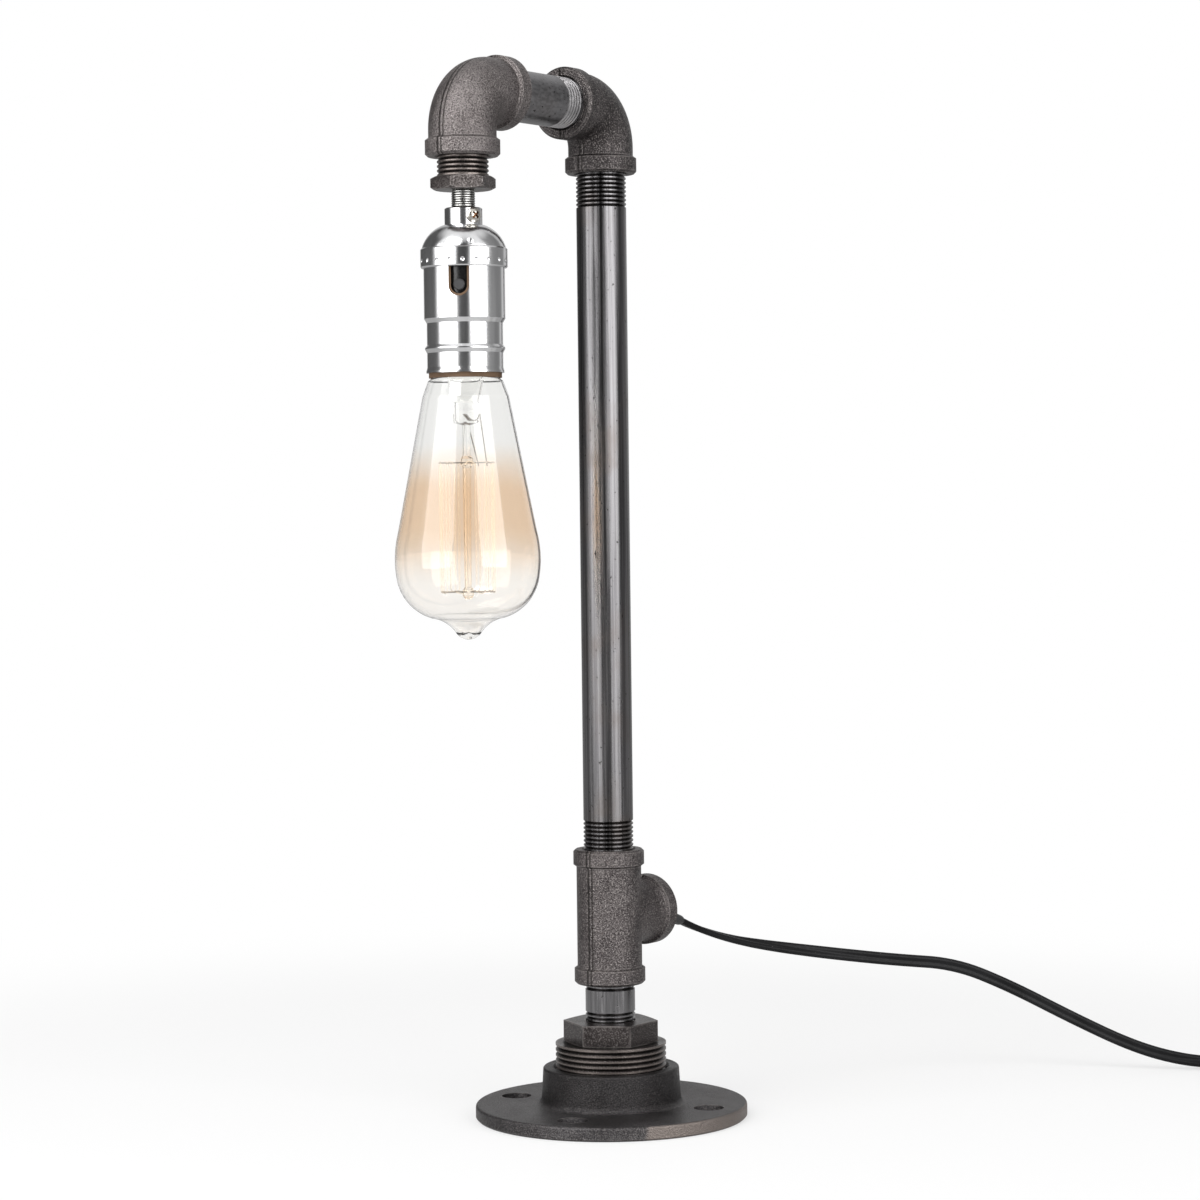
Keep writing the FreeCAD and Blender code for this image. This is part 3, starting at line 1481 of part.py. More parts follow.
def least_gap(edges):
    """Least free distance between one turn of the coil and any other, measured on points."""
    half = SIZES["cord_thick"] / 2.0
    lobe = SIZES["cord_width"] / 2.0 - half
    rows = []
    travelled = 0.0
    for edge in edges:
        count = 9
        low, high = edge.ParameterRange
        for step in range(count):
            at = low + (high - low) * step / count
            spot = edge.valueAt(at)
            level = edge.tangentAt(at).cross(Vector(0, 0, 1)).normalize()
            row = [spot + level * (lobe * share / 2.0) for share in (-2, -1, 0, 1, 2)]
            rows.append((travelled + edge.Length * step / count, row))
        travelled += edge.Length
    apart = SIZES["coil_radius"] * math.pi
    least = 1000.0
    for number, (here, row) in enumerate(rows):
        for there, other in rows[number + 1:]:
            if there - here < apart:
                continue
            for one in row:
                for two in other:
                    least = min(least, one.distanceToPoint(two))
    return least - 2.0 * half


def make_cord():
    """The free cord: its run, its coil with the tie, and the plug."""
    start = coil_point(SIZES["coil_radius"], 0.0, coil_foot())
    points = [cord_exit()]
    points += [Vector(*spot) for spot in RUN_ROUTE]
    points.append(start)
    run, run_length = make_tube("cord_run", points, SIZES["cord_width"])
    coil_length, entry, heading = make_coil()
    print("free cord: %.0f mm" % (run_length + coil_length))
    make_tie()
    make_plug(entry, heading)


def make_tie():
    """Strap round the coil's turns at one place, a plain closed band."""
    gap = SIZES["piece_gap"] + 0.5
    reach = SIZES["cord_width"] / 2.0 + gap
    quarters = coil_quarters()
    inner = min(q[0] for q in quarters) - reach
    outer = max(q[0] for q in quarters) + reach
    thick = SIZES["tie_thick"]
    high = coil_foot() + SIZES["layer_pitch"] * 3.0 + SIZES["cord_thick"] / 2.0 + gap
    width = SIZES["tie_width"]
    outside = document.addObject("Part::Box", "tie_outside")
    inside = document.addObject("Part::Box", "tie_inside")
    for box, low_x, high_x, low_z, high_z, span in (
            (outside, inner - thick, outer + thick, 0.0, high + thick, width),
            (inside, inner, outer, thick, high, width + 2.0)):
        box.Length = high_x - low_x
        box.Width = span
        box.Height = high_z - low_z
        box.Placement = Placement(Vector(low_x, -span / 2.0, low_z), Rotation())
    tie = document.addObject("Part::Cut", "coil_tie")
    tie.Base = outside
    tie.Tool = inside
    tie.Label = "coil_tie"
    tie.Placement = Placement(Vector(SIZES["coil_x"], SIZES["coil_y"], 0),
                              Rotation(Vector(0, 0, 1), math.degrees(DEPTH_ANGLE) - 215.0))
    pieces.append(tie)


def make_plug(entry, heading):
    """Two-blade plug at the end of the tail, lying on the table. Origin at the cord's entry."""
    body = new_body("plug_body")
    neck = size("plug_neck")
    root = size("plug_thick") * 0.4
    fit = size("cord_width") / 2.0 + 0.6
    revolve(body, "Revolution", "plug_relief", [
        (0.0, 0.0),
        (0.0, fit),
        (neck, root),
        (neck + 2.0, root),
        (neck + 2.0, 0.0),
    ], "H_Axis")
    long = size("plug_length")
    wide = size("plug_width") / 2.0
    tall = size("plug_thick") / 2.0
    section = new_sketch(body, "plug_grip_outline", "XY_Plane")
    outline(section, [
        (neck, -wide * 0.72),
        (neck + long * 0.8, -wide),
        (neck + long, -wide * 0.92),
        (neck + long, wide * 0.92),
        (neck + long * 0.8, wide),
        (neck, wide * 0.72),
    ])
    grip = body.newObject("PartDesign::Pad", "plug_grip")
    grip.Profile = section
    grip.Midplane = True
    bind(grip, "Length", tall * 2.0)
    document.recompute()
    upright = []
    for number, edge in enumerate(body.Tip.Shape.Edges, 1):
        box = edge.BoundBox
        if box.ZLength > tall.value * 1.9 and box.XMin > (neck + long * 0.9).value:
            upright.append("Edge%d" % number)
    soft = body.newObject("PartDesign::Fillet", "plug_soft_edges")
    soft.Base = (grip, upright)
    soft.Radius = 2.0
    document.recompute()
    level = Rotation(Vector(0, 0, 1), math.degrees(math.atan2(heading.y, heading.x)))
    body.Placement = Placement(entry, level)
    face = SIZES["plug_neck"] + SIZES["plug_length"]
    blades = []
    for side in (-1, 1):
        blade = Part.makeBox(SIZES["blade_length"], SIZES["blade_thick"], SIZES["blade_width"])
        blade.translate(Vector(face, side * SIZES["blade_spacing"] / 2.0 - SIZES["blade_thick"] / 2.0,
                               -SIZES["blade_width"] / 2.0))
        tips = [e for e in blade.Edges if abs(e.BoundBox.XMin - face - SIZES["blade_length"]) < 0.01
                and e.BoundBox.YLength > 0.5]
        blades.append(blade.makeChamfer(1.6, tips))
    group = plain_feature("plug_blades", Part.makeCompound(blades))
    group.Placement = Placement(entry, level)


def write_pieces():
    """Check every object and write each piece to its own file."""
    document.recompute()
    for thing in document.Objects:
        if "Invalid" in thing.State or "Error" in thing.State:
            raise RuntimeError("%s failed: %s" % (thing.Name, thing.State))
    os.makedirs("parts", exist_ok=True)
    for piece in pieces:
        if piece.Shape.isNull() or not piece.Shape.isValid():
            raise RuntimeError("%s has no valid shape" % piece.Label)
    for piece in pieces:
        piece.Shape.exportStep("parts/%s.step" % piece.Label)
    print("%d pieces written" % len(pieces))


def main():
    make_pipework()
    make_socket_cap()
    make_cap_screw()
    make_socket_shell()
    make_shell_liner()
    stem_bore_end = make_socket_core()
    make_switch(stem_bore_end)
    make_screw_shell()
    make_contacts()
    make_bulb()
    make_cage()
    make_grommet()
    make_inner_cord()
    make_cord()
    write_pieces()


main()
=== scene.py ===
"""Industrial pipe table lamp: finishes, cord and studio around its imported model."""
import logging
import math
from dataclasses import dataclass, field
from enum import Enum

import bmesh
import bpy
from mathutils import Matrix, Vector


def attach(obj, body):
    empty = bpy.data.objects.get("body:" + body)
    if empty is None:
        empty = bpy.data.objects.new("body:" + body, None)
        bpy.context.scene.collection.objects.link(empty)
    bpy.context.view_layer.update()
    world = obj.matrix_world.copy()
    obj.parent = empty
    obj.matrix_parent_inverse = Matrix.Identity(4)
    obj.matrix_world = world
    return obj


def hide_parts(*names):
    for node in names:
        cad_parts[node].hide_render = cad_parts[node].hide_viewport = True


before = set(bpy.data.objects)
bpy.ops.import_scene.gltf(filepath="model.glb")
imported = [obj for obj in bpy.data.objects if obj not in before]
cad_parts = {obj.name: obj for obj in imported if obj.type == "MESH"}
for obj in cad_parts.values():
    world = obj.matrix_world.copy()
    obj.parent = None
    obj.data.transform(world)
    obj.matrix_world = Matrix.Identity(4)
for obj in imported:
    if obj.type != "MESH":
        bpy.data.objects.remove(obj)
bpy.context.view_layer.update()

MM = 0.001

Colour = tuple[float, float, float]
Socket = bpy.types.NodeSocket

# Painted shade: near black laid over the iron above a height, on the flange's hub.
UPPER_SHADE: Colour = (0.010, 0.009, 0.009)
SEAM_SHADE: Colour = (0.02, 0.018, 0.016)
GROUND_METAL: Colour = (0.24, 0.205, 0.185)
GROUND_HEADING = math.radians(268.0)
# Painted shade for the grooves of cast threads.
GROOVE_SHADE: Colour = (0.012, 0.010, 0.008)
# Painted highlight for thread crests.
CREST_HIGHLIGHT: Colour = (0.26, 0.225, 0.205)
PIT_RUST: Colour = (0.03, 0.027, 0.025)
# Painted shade for the grooves of steel threads.
STEEL_GROOVE_SHADE: Colour = (0.035, 0.03, 0.027)
# Brown painted shade for the inside of a screw's driver recess.
RECESS_SHADE: Colour = (0.10, 0.05, 0.025)

log = logging.getLogger("lamp")


class Run(Enum):
    """Axis along which a turned or drawn piece runs."""

    UPRIGHT = "Z"
    LEVEL = "X"


class Shader:
    """One node material, built a node at a time around a Principled surface."""

    def __init__(self, name: str) -> None:
        """Start the material. Args: name: what the finish is called."""
        self.material = bpy.data.materials.new(name)
        self.material.use_nodes = True
        self.nodes = self.material.node_tree.nodes
        self.links = self.material.node_tree.links
        self.surface = self.nodes["Principled BSDF"]
        self.spot = self.nodes.new("ShaderNodeTexCoord").outputs["Object"]

    def feed(self, socket: Socket, value: object) -> None:
        """Link or set a socket. Args: socket: the input; value: an output or a constant."""
        if isinstance(value, bpy.types.NodeSocket):
            self.links.new(value, socket)
        else:
            socket.default_value = value

    def scaled(self, stretch: tuple[float, float, float]) -> Socket:
        """Object coordinates stretched along each axis. Returns: the vector."""
        mapping = self.nodes.new("ShaderNodeMapping")
        mapping.inputs["Scale"].default_value = stretch
        self.links.new(self.spot, mapping.inputs["Vector"])
        return mapping.outputs["Vector"]

    def noise(self, per_metre: float, detail: float = 3.0,
              stretch: tuple[float, float, float] = (1.0, 1.0, 1.0)) -> Socket:
        """Noise over the piece.

        Args:
            per_metre: how many grains lie in a metre.
            detail: how many finer layers it holds.
            stretch: its scale along each axis.

        Returns:
            The factor, about 0.5 on average.
        """
        node = self.nodes.new("ShaderNodeTexNoise")
        node.inputs["Scale"].default_value = per_metre
        node.inputs["Detail"].default_value = detail
        self.links.new(self.scaled(stretch), node.inputs["Vector"])
        return node.outputs["Fac"]

    def maths(self, operation: str, first: object, second: object = 0.0) -> Socket:
        """A sum on one or two values. Returns: its result."""
        node = self.nodes.new("ShaderNodeMath")
        node.operation = operation
        self.feed(node.inputs[0], first)
        self.feed(node.inputs[1], second)
        return node.outputs["Value"]

    def span(self, value: Socket, low: float, high: float,
             start: float = 0.0, stop: float = 1.0) -> Socket:
        """A value's range moved, smoothly and clamped, to start..stop. Returns: the result."""
        node = self.nodes.new("ShaderNodeMapRange")
        node.interpolation_type = "SMOOTHSTEP"
        for name, number in (("From Min", low), ("From Max", high), ("To Min", start),
                             ("To Max", stop)):
            node.inputs[name].default_value = number
        self.links.new(value, node.inputs["Value"])
        return node.outputs["Result"]

    def blend(self, factor: Socket, first: object, second: object) -> Socket:
        """Two colours mixed by a factor. Returns: the colour."""
        node = self.nodes.new("ShaderNodeMix")
        node.data_type = "RGBA"
        self.links.new(factor, node.inputs["Factor"])
        for name, value in (("A", first), ("B", second)):
            socket = next(s for s in node.inputs if s.name == name and s.type == "RGBA")
            self.feed(socket, (*value, 1.0) if isinstance(value, tuple) else value)
        return next(s for s in node.outputs if s.type == "RGBA")

    def bump(self, height: Socket, depth: float, under: Socket | None = None) -> Socket:
        """Relief in the surface. Args: depth: in metres. Returns: the bent normal."""
        node = self.nodes.new("ShaderNodeBump")
        node.inputs["Distance"].default_value = depth
        self.links.new(height, node.inputs["Height"])
        if under is not None:
            self.links.new(under, node.inputs["Normal"])
        return node.outputs["Normal"]

    def axes(self) -> tuple[Socket, Socket, Socket]:
        """Object coordinates one by one. Returns: x, y and z."""
        node = self.nodes.new("ShaderNodeSeparateXYZ")
        self.links.new(self.spot, node.inputs["Vector"])
        return node.outputs["X"], node.outputs["Y"], node.outputs["Z"]

    def from_line(self, run: Run, through: tuple[float, float]) -> Socket:
        """Distance from a line along an axis. Args: through: the line's place. Returns: metres."""
        x, y, z = self.axes()
        across = (x, y) if run is Run.UPRIGHT else (y, z)
        squares = []
        for socket, centre in zip(across, through):
            off = self.maths("SUBTRACT", socket, centre)
            squares.append(self.maths("MULTIPLY", off, off))
        return self.maths("SQRT", self.maths("ADD", *squares))

    def edges(self, width: float = 0.0008) -> Socket:
        """How near a sharp edge is. Args: width: of the worn line. Returns: 0 to 1."""
        soft = self.nodes.new("ShaderNodeBevel")
        soft.samples = 4
        soft.inputs["Radius"].default_value = width
        flat = self.nodes.new("ShaderNodeNewGeometry")
        dot = self.nodes.new("ShaderNodeVectorMath")
        dot.operation = "DOT_PRODUCT"
        self.links.new(soft.outputs["Normal"], dot.inputs[0])
        self.links.new(flat.outputs["Normal"], dot.inputs[1])
        return self.span(dot.outputs["Value"], 0.86, 0.99, 1.0, 0.0)

    def finish(self, **values: object) -> bpy.types.Material:
        """Set the surface. Args: values: sockets by name. Returns: the material."""
        for name, value in values.items():
            socket = self.surface.inputs[name.replace("_", " ")]
            self.feed(socket, (*value, 1.0) if isinstance(value, tuple) else value)
        return self.material


@dataclass(frozen=True)
class Thread:
    """Where a cut thread lies, so that its grooves get painted shade and its crests a painted
    highlight.
    """

    run: Run
    through: tuple[float, float]
    crest: float
    tooth: float
    low: float
    high: float

    def inside(self, shader: Shader) -> Socket:
        """Returns: 1 along the thread and 0 elsewhere."""
        axes = shader.axes()
        along = axes[2] if self.run is Run.UPRIGHT else axes[0]
        return shader.maths("MULTIPLY", shader.maths("GREATER_THAN", along, self.low),
                            shader.maths("LESS_THAN", along, self.high))

    def masks(self, shader: Shader) -> tuple[Socket, Socket]:
        """Returns: how deep in a groove and how near a crest each place is, 0 to 1."""
        radius = shader.from_line(self.run, self.through)
        inside = self.inside(shader)
        floor = self.crest - self.tooth
        groove = shader.span(radius, floor, floor + 0.75 * self.tooth, 1.0, 0.0)
        crest = shader.span(radius, self.crest - 0.35 * self.tooth, self.crest - 0.1 * self.tooth)
        return shader.maths("MULTIPLY", groove, inside), shader.maths("MULTIPLY", crest, inside)


@dataclass(frozen=True)
class CastFinish:
    """Oiled malleable iron with a sand-cast grain, rubbed lighter on its edges; it may carry painted
    shade above a height and in thread grooves, and a painted highlight on thread crests.
    """

    name: str
    dark: Colour
    light: Colour
    worn: Colour = (0.30, 0.275, 0.265)
    edge: float = 0.0008
    grain: float = 1700.0
    relief: float = 0.0004
    rough: float = 0.42
    speckle: float = 0.8
    seam: bool = False
    ground: bool = False
    shaded_above: float | None = None
    thread: Thread | None = None

    def material(self) -> bpy.types.Material:
        """Returns: the finish as a material."""
        shader = Shader(self.name)
        grain = shader.noise(self.grain, 4.0)
        broad = shader.noise(70.0, 4.0)
        colour = shader.blend(shader.span(broad, 0.35, 0.65), self.dark, self.light)
        colour = shader.blend(shader.span(grain, 0.50, 0.36, 0.0, self.speckle), colour,
                              tuple(0.35 * part for part in self.dark))
        colour = shader.blend(shader.span(grain, 0.52, 0.68, 0.0, self.speckle), colour, self.worn)
        rubbed = shader.maths("MULTIPLY", shader.edges(self.edge),
                              shader.span(broad, 0.3, 0.6, 0.35, 0.9))
        if self.thread:
            rubbed = shader.maths("MULTIPLY", rubbed,
                                  shader.maths("SUBTRACT", 1.0, self.thread.inside(shader)))
        colour = shader.blend(rubbed, colour, self.worn)
        # Painted shade: above the given height (the flange's hub) the iron is darkened towards near
        # black.
        if self.shaded_above is not None:
            upper_shade = shader.span(shader.axes()[2], self.shaded_above - 0.001,
                                self.shaded_above + 0.001, 0.0, 0.62)
            colour = shader.blend(upper_shade, colour, UPPER_SHADE)
        rough = shader.span(broad, 0.3, 0.7, self.rough - 0.07, self.rough + 0.07)
        height = grain
        if self.seam:
            _, y, _ = shader.axes()
            off = shader.maths("ABSOLUTE", y)
            ridge = shader.span(off, 0.0003, 0.0008, 1.6, 0.0)
            height = shader.maths("ADD", grain, ridge)
            shade = shader.maths("MULTIPLY", shader.span(off, 0.0005, 0.0008),
                                 shader.span(off, 0.0010, 0.0016, 0.85, 0.0))
            colour = shader.blend(shade, colour, SEAM_SHADE)
        if self.ground:
            x, y, _ = shader.axes()
            ahead = shader.maths("ADD", shader.maths("MULTIPLY", x, math.cos(GROUND_HEADING)),
                                 shader.maths("MULTIPLY", y, math.sin(GROUND_HEADING)))
            ragged = shader.maths("ADD", ahead, shader.maths("MULTIPLY", broad, 0.004))
            rim = shader.span(shader.from_line(Run.UPRIGHT, (0.0, 0.0)), 0.0574, 0.0582, 0.0, 0.8)
            patch = shader.maths("MULTIPLY", shader.span(ragged, 0.0475, 0.0495), rim)
            colour = shader.blend(patch, colour, GROUND_METAL)
        if self.thread:
            groove, crest = self.thread.masks(shader)
            # Painted shade darkens the thread grooves.
            colour = shader.blend(groove, colour, GROOVE_SHADE)
            # Painted highlight lightens the thread crests.
            colour = shader.blend(shader.maths("MULTIPLY", crest, 0.45), colour, CREST_HIGHLIGHT)
        return shader.finish(Base_Color=colour, Metallic=0.85, Roughness=rough,
                             Normal=shader.bump(height, self.relief))


@dataclass(frozen=True)
class SteelFinish:
    """Drawn or turned steel: streaks, stains, pits, threads or bands cut afresh, and painted shade in
    thread grooves.
    """

    name: str
    base: Colour
    dark: Colour
    stain: Colour = (0.13, 0.10, 0.08)
    run: Run = Run.UPRIGHT
    through: tuple[float, float] = (0.0, 0.0)
    crest: float = 10.67 * MM
    tooth: float = 0.7 * MM
    streaks: float = 900.0
    drawn: float = 0.012
    stained: float = 0.5
    rough: float = 0.22
    bright: tuple[tuple[float, float], ...] = ()
    fresh: Colour = (0.72, 0.71, 0.70)

    def material(self) -> bpy.types.Material:
        """Returns: the finish as a material."""
        shader = Shader(self.name)
        stretch = (1.0, 1.0, self.drawn) if self.run is Run.UPRIGHT else (self.drawn, 1.0, 1.0)
        streak = shader.noise(self.streaks, 4.0, stretch)
        broad = shader.noise(28.0, 4.0)
        colour = shader.blend(shader.span(streak, 0.32, 0.68), self.dark, self.base)
        stains = shader.span(broad, 0.5, 0.72, 0.0, self.stained)
        colour = shader.blend(stains, colour, self.stain)
        axes = shader.axes()
        along = axes[2] if self.run is Run.UPRIGHT else axes[0]
        for low, high in self.bright:
            fresh = shader.maths("MULTIPLY", shader.span(along, low, low + 0.0004),
                                 shader.span(along, high - 0.0004, high, 1.0, 0.0))
            colour = shader.blend(fresh, colour, self.fresh)
        pits = shader.span(shader.noise(650.0, 1.0), 0.70, 0.76)
        colour = shader.blend(pits, colour, PIT_RUST)
        # Painted shade darkens the thread grooves below the crest radius.
        radius = shader.from_line(self.run, self.through)
        groove = shader.span(radius, self.crest - self.tooth,
                             self.crest - 0.1 * self.tooth, 0.85, 0.0)
        colour = shader.blend(groove, colour, STEEL_GROOVE_SHADE)
        streaked = shader.span(streak, 0.3, 0.7, self.rough - 0.06, self.rough + 0.08)
        rough = shader.maths("ADD", streaked, shader.maths("MULTIPLY", stains, 0.18))
        height = shader.maths("SUBTRACT", streak, pits)
        return shader.finish(Base_Color=colour, Metallic=1.0, Roughness=rough,
                             Normal=shader.bump(height, 0.00003))


@dataclass(frozen=True)
class Recess:
    """The driver recess of a screw that lies level, so that its inside gets a brown painted shade."""

    start: tuple[float, float, float]
    heading: float
    floor: float
    reach: float

    def mask(self, shader: Shader) -> Socket:
        """Returns: 1 inside the recess and 0 elsewhere."""
        x, y, z = (shader.maths("SUBTRACT", socket, middle)
                   for socket, middle in zip(shader.axes(), self.start))
        ahead, aside = math.cos(self.heading), math.sin(self.heading)
        along = shader.maths("ADD", shader.maths("MULTIPLY", x, ahead),
                             shader.maths("MULTIPLY", y, aside))
        across = shader.maths("SUBTRACT", shader.maths("MULTIPLY", y, ahead),
                              shader.maths("MULTIPLY", x, aside))
        off = shader.maths("SQRT", shader.maths("ADD", shader.maths("MULTIPLY", across, across),
                                                shader.maths("MULTIPLY", z, z)))
        return shader.maths("MULTIPLY", shader.maths("LESS_THAN", along, self.floor),
                            shader.maths("LESS_THAN", off, self.reach))


@dataclass(frozen=True)
class BrightFinish:
    """Smooth plated or polished metal, faintly wavy as pressed sheet is."""

    name: str
    base: Colour
    rough: float = 0.12
    waves: float = 0.00002
    brushed: float = 160.0
    recess: Recess | None = None

    def material(self) -> bpy.types.Material:
        """Returns: the finish as a material."""
        shader = Shader(self.name)
        drawn = shader.noise(self.brushed, 3.0, (1.0, 1.0, 0.08))
        fine = shader.noise(1400.0, 2.0)
        wavy = shader.span(drawn, 0.3, 0.7, self.rough - 0.03, self.rough + 0.04)
        rough = shader.maths("ADD", wavy, shader.span(fine, 0.6, 0.8, 0.0, 0.05))
        dull = tuple(0.82 * part for part in self.base)
        colour = shader.blend(shader.span(drawn, 0.35, 0.65), dull, self.base)
        if self.recess:
            # Painted shade fills the screw's driver recess.
            colour = shader.blend(self.recess.mask(shader), colour, RECESS_SHADE)
        return shader.finish(Base_Color=colour, Metallic=1.0, Roughness=rough,
                             Normal=shader.bump(drawn, self.waves))


@dataclass(frozen=True)
class MouldedFinish:
    """Plastic, rubber or pressed fibre."""

    name: str
    base: Colour
    second: Colour
    rough: float = 0.4
    grain: float = 900.0
    relief: float = 0.00002
    gloss: float = 0.5
    alpha: float = 1.0

    def material(self) -> bpy.types.Material:
        """Returns: the finish as a material."""
        shader = Shader(self.name)
        grain = shader.noise(self.grain, 3.0)
        broad = shader.noise(60.0, 3.0)
        colour = shader.blend(shader.span(broad, 0.3, 0.7), self.base, self.second)
        rough = shader.span(grain, 0.3, 0.7, self.rough - 0.05, self.rough + 0.08)
        return shader.finish(Base_Color=colour, Metallic=0.0, Roughness=rough,
                             Specular_IOR_Level=self.gloss, Alpha=self.alpha,
                             Normal=shader.bump(grain, self.relief))


@dataclass(frozen=True)
class GlassFinish:
    """Blown glass, with an amber bloom round the middle that fades up and down."""

    name: str
    amber: Colour = (0.92, 0.77, 0.62)
    clear: Colour = (0.985, 0.985, 0.975)
    high: tuple[float, float] = (0.290, 0.268)
    low: tuple[float, float] = (0.230, 0.256)
    last: float = 0.12
    facing: float = 0.85

    def material(self) -> bpy.types.Material:
        """Returns: the finish as a material."""
        shader = Shader(self.name)
        _, _, z = shader.axes()
        cloud = shader.maths("MULTIPLY", shader.noise(45.0, 2.0), 0.012)
        level = shader.maths("ADD", z, shader.maths("SUBTRACT", cloud, 0.006))
        band = shader.maths("MULTIPLY", shader.span(level, self.high[1], self.high[0], 1.0, 0.0),
                            shader.span(level, self.low[0], self.low[1], self.last, 1.0))
        rim = shader.nodes.new("ShaderNodeLayerWeight")
        rim.inputs["Blend"].default_value = 0.35
        depth = shader.span(rim.outputs["Facing"], 0.1, 0.95, self.facing, 1.0)
        colour = shader.blend(shader.maths("MULTIPLY", band, depth), self.clear, self.amber)
        shader.finish(Base_Color=colour, Roughness=0.01, IOR=1.47)
        shader.surface.inputs["Transmission Weight"].default_value = 1.0
        through = shader.nodes.new("ShaderNodeBsdfTransparent")
        through.inputs["Color"].default_value = (0.93, 0.9, 0.85, 1.0)
        path = shader.nodes.new("ShaderNodeLightPath")
        either = shader.nodes.new("ShaderNodeMixShader")
        shader.links.new(path.outputs["Is Shadow Ray"], either.inputs["Fac"])
        shader.links.new(shader.surface.outputs["BSDF"], either.inputs[1])
        shader.links.new(through.outputs["BSDF"], either.inputs[2])
        shader.links.new(either.outputs["Shader"],
                         shader.nodes["Material Output"].inputs["Surface"])
        return shader.material


def dress(material: bpy.types.Material, *names: str) -> None:
    """Give CAD nodes a finish. Args: material: the finish; names: the nodes."""
    for name in names:
        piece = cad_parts[name]
        if piece.material_slots:
            for slot in piece.material_slots:
                slot.material = material
        else:
            piece.data.materials.append(material)
        log.info("%s: %s", name, material.name)


def add_piece(mesh: bpy.types.Mesh, name: str, body: str,
              material: bpy.types.Material, stands_for: tuple[str, ...] = ()) -> bpy.types.Object:
    """Put a finished mesh into the scene on its body.

    Args:
        mesh: its shape, in place.
        name: what the piece is called.
        body: the body it rides on.
        material: its finish.
        stands_for: CAD nodes it takes the place of.

    Returns:
        The new object.
    """
    piece = bpy.data.objects.new(name, mesh)
    bpy.context.scene.collection.objects.link(piece)
    mesh.materials.clear()
    mesh.materials.append(material)
    for face in mesh.polygons:
        face.use_smooth = True
    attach(piece, body)
    if stands_for:
        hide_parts(*stands_for)
    log.info("%s: %d faces", name, len(mesh.polygons))
    return piece


def outward(mesh: bpy.types.Mesh) -> bpy.types.Mesh:
    """Merge doubles and face outwards. Returns: the same mesh."""
    work = bmesh.new()
    work.from_mesh(mesh)
    bmesh.ops.remove_doubles(work, verts=work.verts, dist=1e-6)
    bmesh.ops.recalc_face_normals(work, faces=work.faces)
    work.to_mesh(mesh)
    work.free()
    return mesh


def lofted(name: str, rings: list[list[Vector]]) -> bpy.types.Mesh:
    """Closed skin through rings of equal count. Args: rings: in order. Returns: the mesh."""
    work = bmesh.new()
    loops = [[work.verts.new(point) for point in ring] for ring in rings]
    count = len(rings[0])
    for one, two in zip(loops, loops[1:]):
        for i in range(count):
            work.faces.new((one[i], one[(i + 1) % count], two[(i + 1) % count], two[i]))
    work.faces.new(loops[0])
    work.faces.new(loops[-1])
    mesh = bpy.data.meshes.new(name)
    work.to_mesh(mesh)
    work.free()
    return outward(mesh)


@dataclass
class PipeWork:
    """The screwed iron pipe and its fittings."""

    arm_height: float = 431.6 * MM
    arm_reach: float = 95.3 * MM

    def dress(self) -> None:
        """Give every fitting and pipe its finish."""
        head = (-self.arm_reach, 0.0)
        # Painted light: the head elbow's iron is a lighter copy of the same cast iron, for the key
        # light it catches.
        near = CastFinish("near_elbow_iron_painted_lit", (0.130, 0.114, 0.112), (0.195, 0.175, 0.172), seam=True)
        far = CastFinish("far_elbow_iron", (0.050, 0.044, 0.044), (0.088, 0.079, 0.079), seam=True)
        fitting = CastFinish("tee_iron", (0.078, 0.068, 0.068), (0.125, 0.111, 0.110), seam=True)
        flange = CastFinish("flange_iron", (0.050, 0.046, 0.047), (0.085, 0.080, 0.082),
                            worn=(0.20, 0.185, 0.18), speckle=0.6, ground=True, shaded_above=0.007)
        low = CastFinish("oiled_bushing", (0.045, 0.038, 0.037), (0.072, 0.062, 0.060), relief=0.0001,
                         rough=0.34, edge=0.0016, speckle=0.6,
                         thread=Thread(Run.UPRIGHT, (0.0, 0.0), 0.02375, 0.00095, 0.0, 0.0321))
        high = CastFinish("head_bushing_iron", (0.085, 0.073, 0.070), (0.135, 0.118, 0.113),
                          relief=0.0001, rough=0.34,
                          thread=Thread(Run.UPRIGHT, head, 0.01045, 0.00075, 0.3957, 0.42))
        riser = SteelFinish("riser_steel", (0.22, 0.215, 0.22), (0.10, 0.097, 0.10), rough=0.23)
        short = SteelFinish("base_nipple_steel", (0.26, 0.255, 0.26), (0.17, 0.166, 0.17), drawn=0.05,
                            stained=0.2, rough=0.2)
        arm = SteelFinish("arm_nipple_steel", (0.29, 0.285, 0.295), (0.20, 0.197, 0.203), run=Run.LEVEL,
                          through=(0.0, self.arm_height), drawn=0.6, stained=0.2, rough=0.32,
                          bright=((-0.0372, -0.0270), (-0.0665, -0.0650)), fresh=(0.50, 0.49, 0.50))
        zinc = SteelFinish("zinc", (0.62, 0.62, 0.60), (0.40, 0.40, 0.39), through=head,
                           crest=4.8 * MM, tooth=0.35 * MM, drawn=0.6, stained=0.1, rough=0.26)
        dress(near.material(), "head_elbow")
        dress(far.material(), "riser_elbow")
        dress(fitting.material(), "tee")
        dress(flange.material(), "base_flange")
        dress(low.material(), "base_bushing")
        dress(high.material(), "head_bushing")
        dress(riser.material(), "riser_pipe")
        dress(short.material(), "base_nipple")
        dress(arm.material(), "arm_nipple")
        dress(zinc.material(), "socket_nipple")


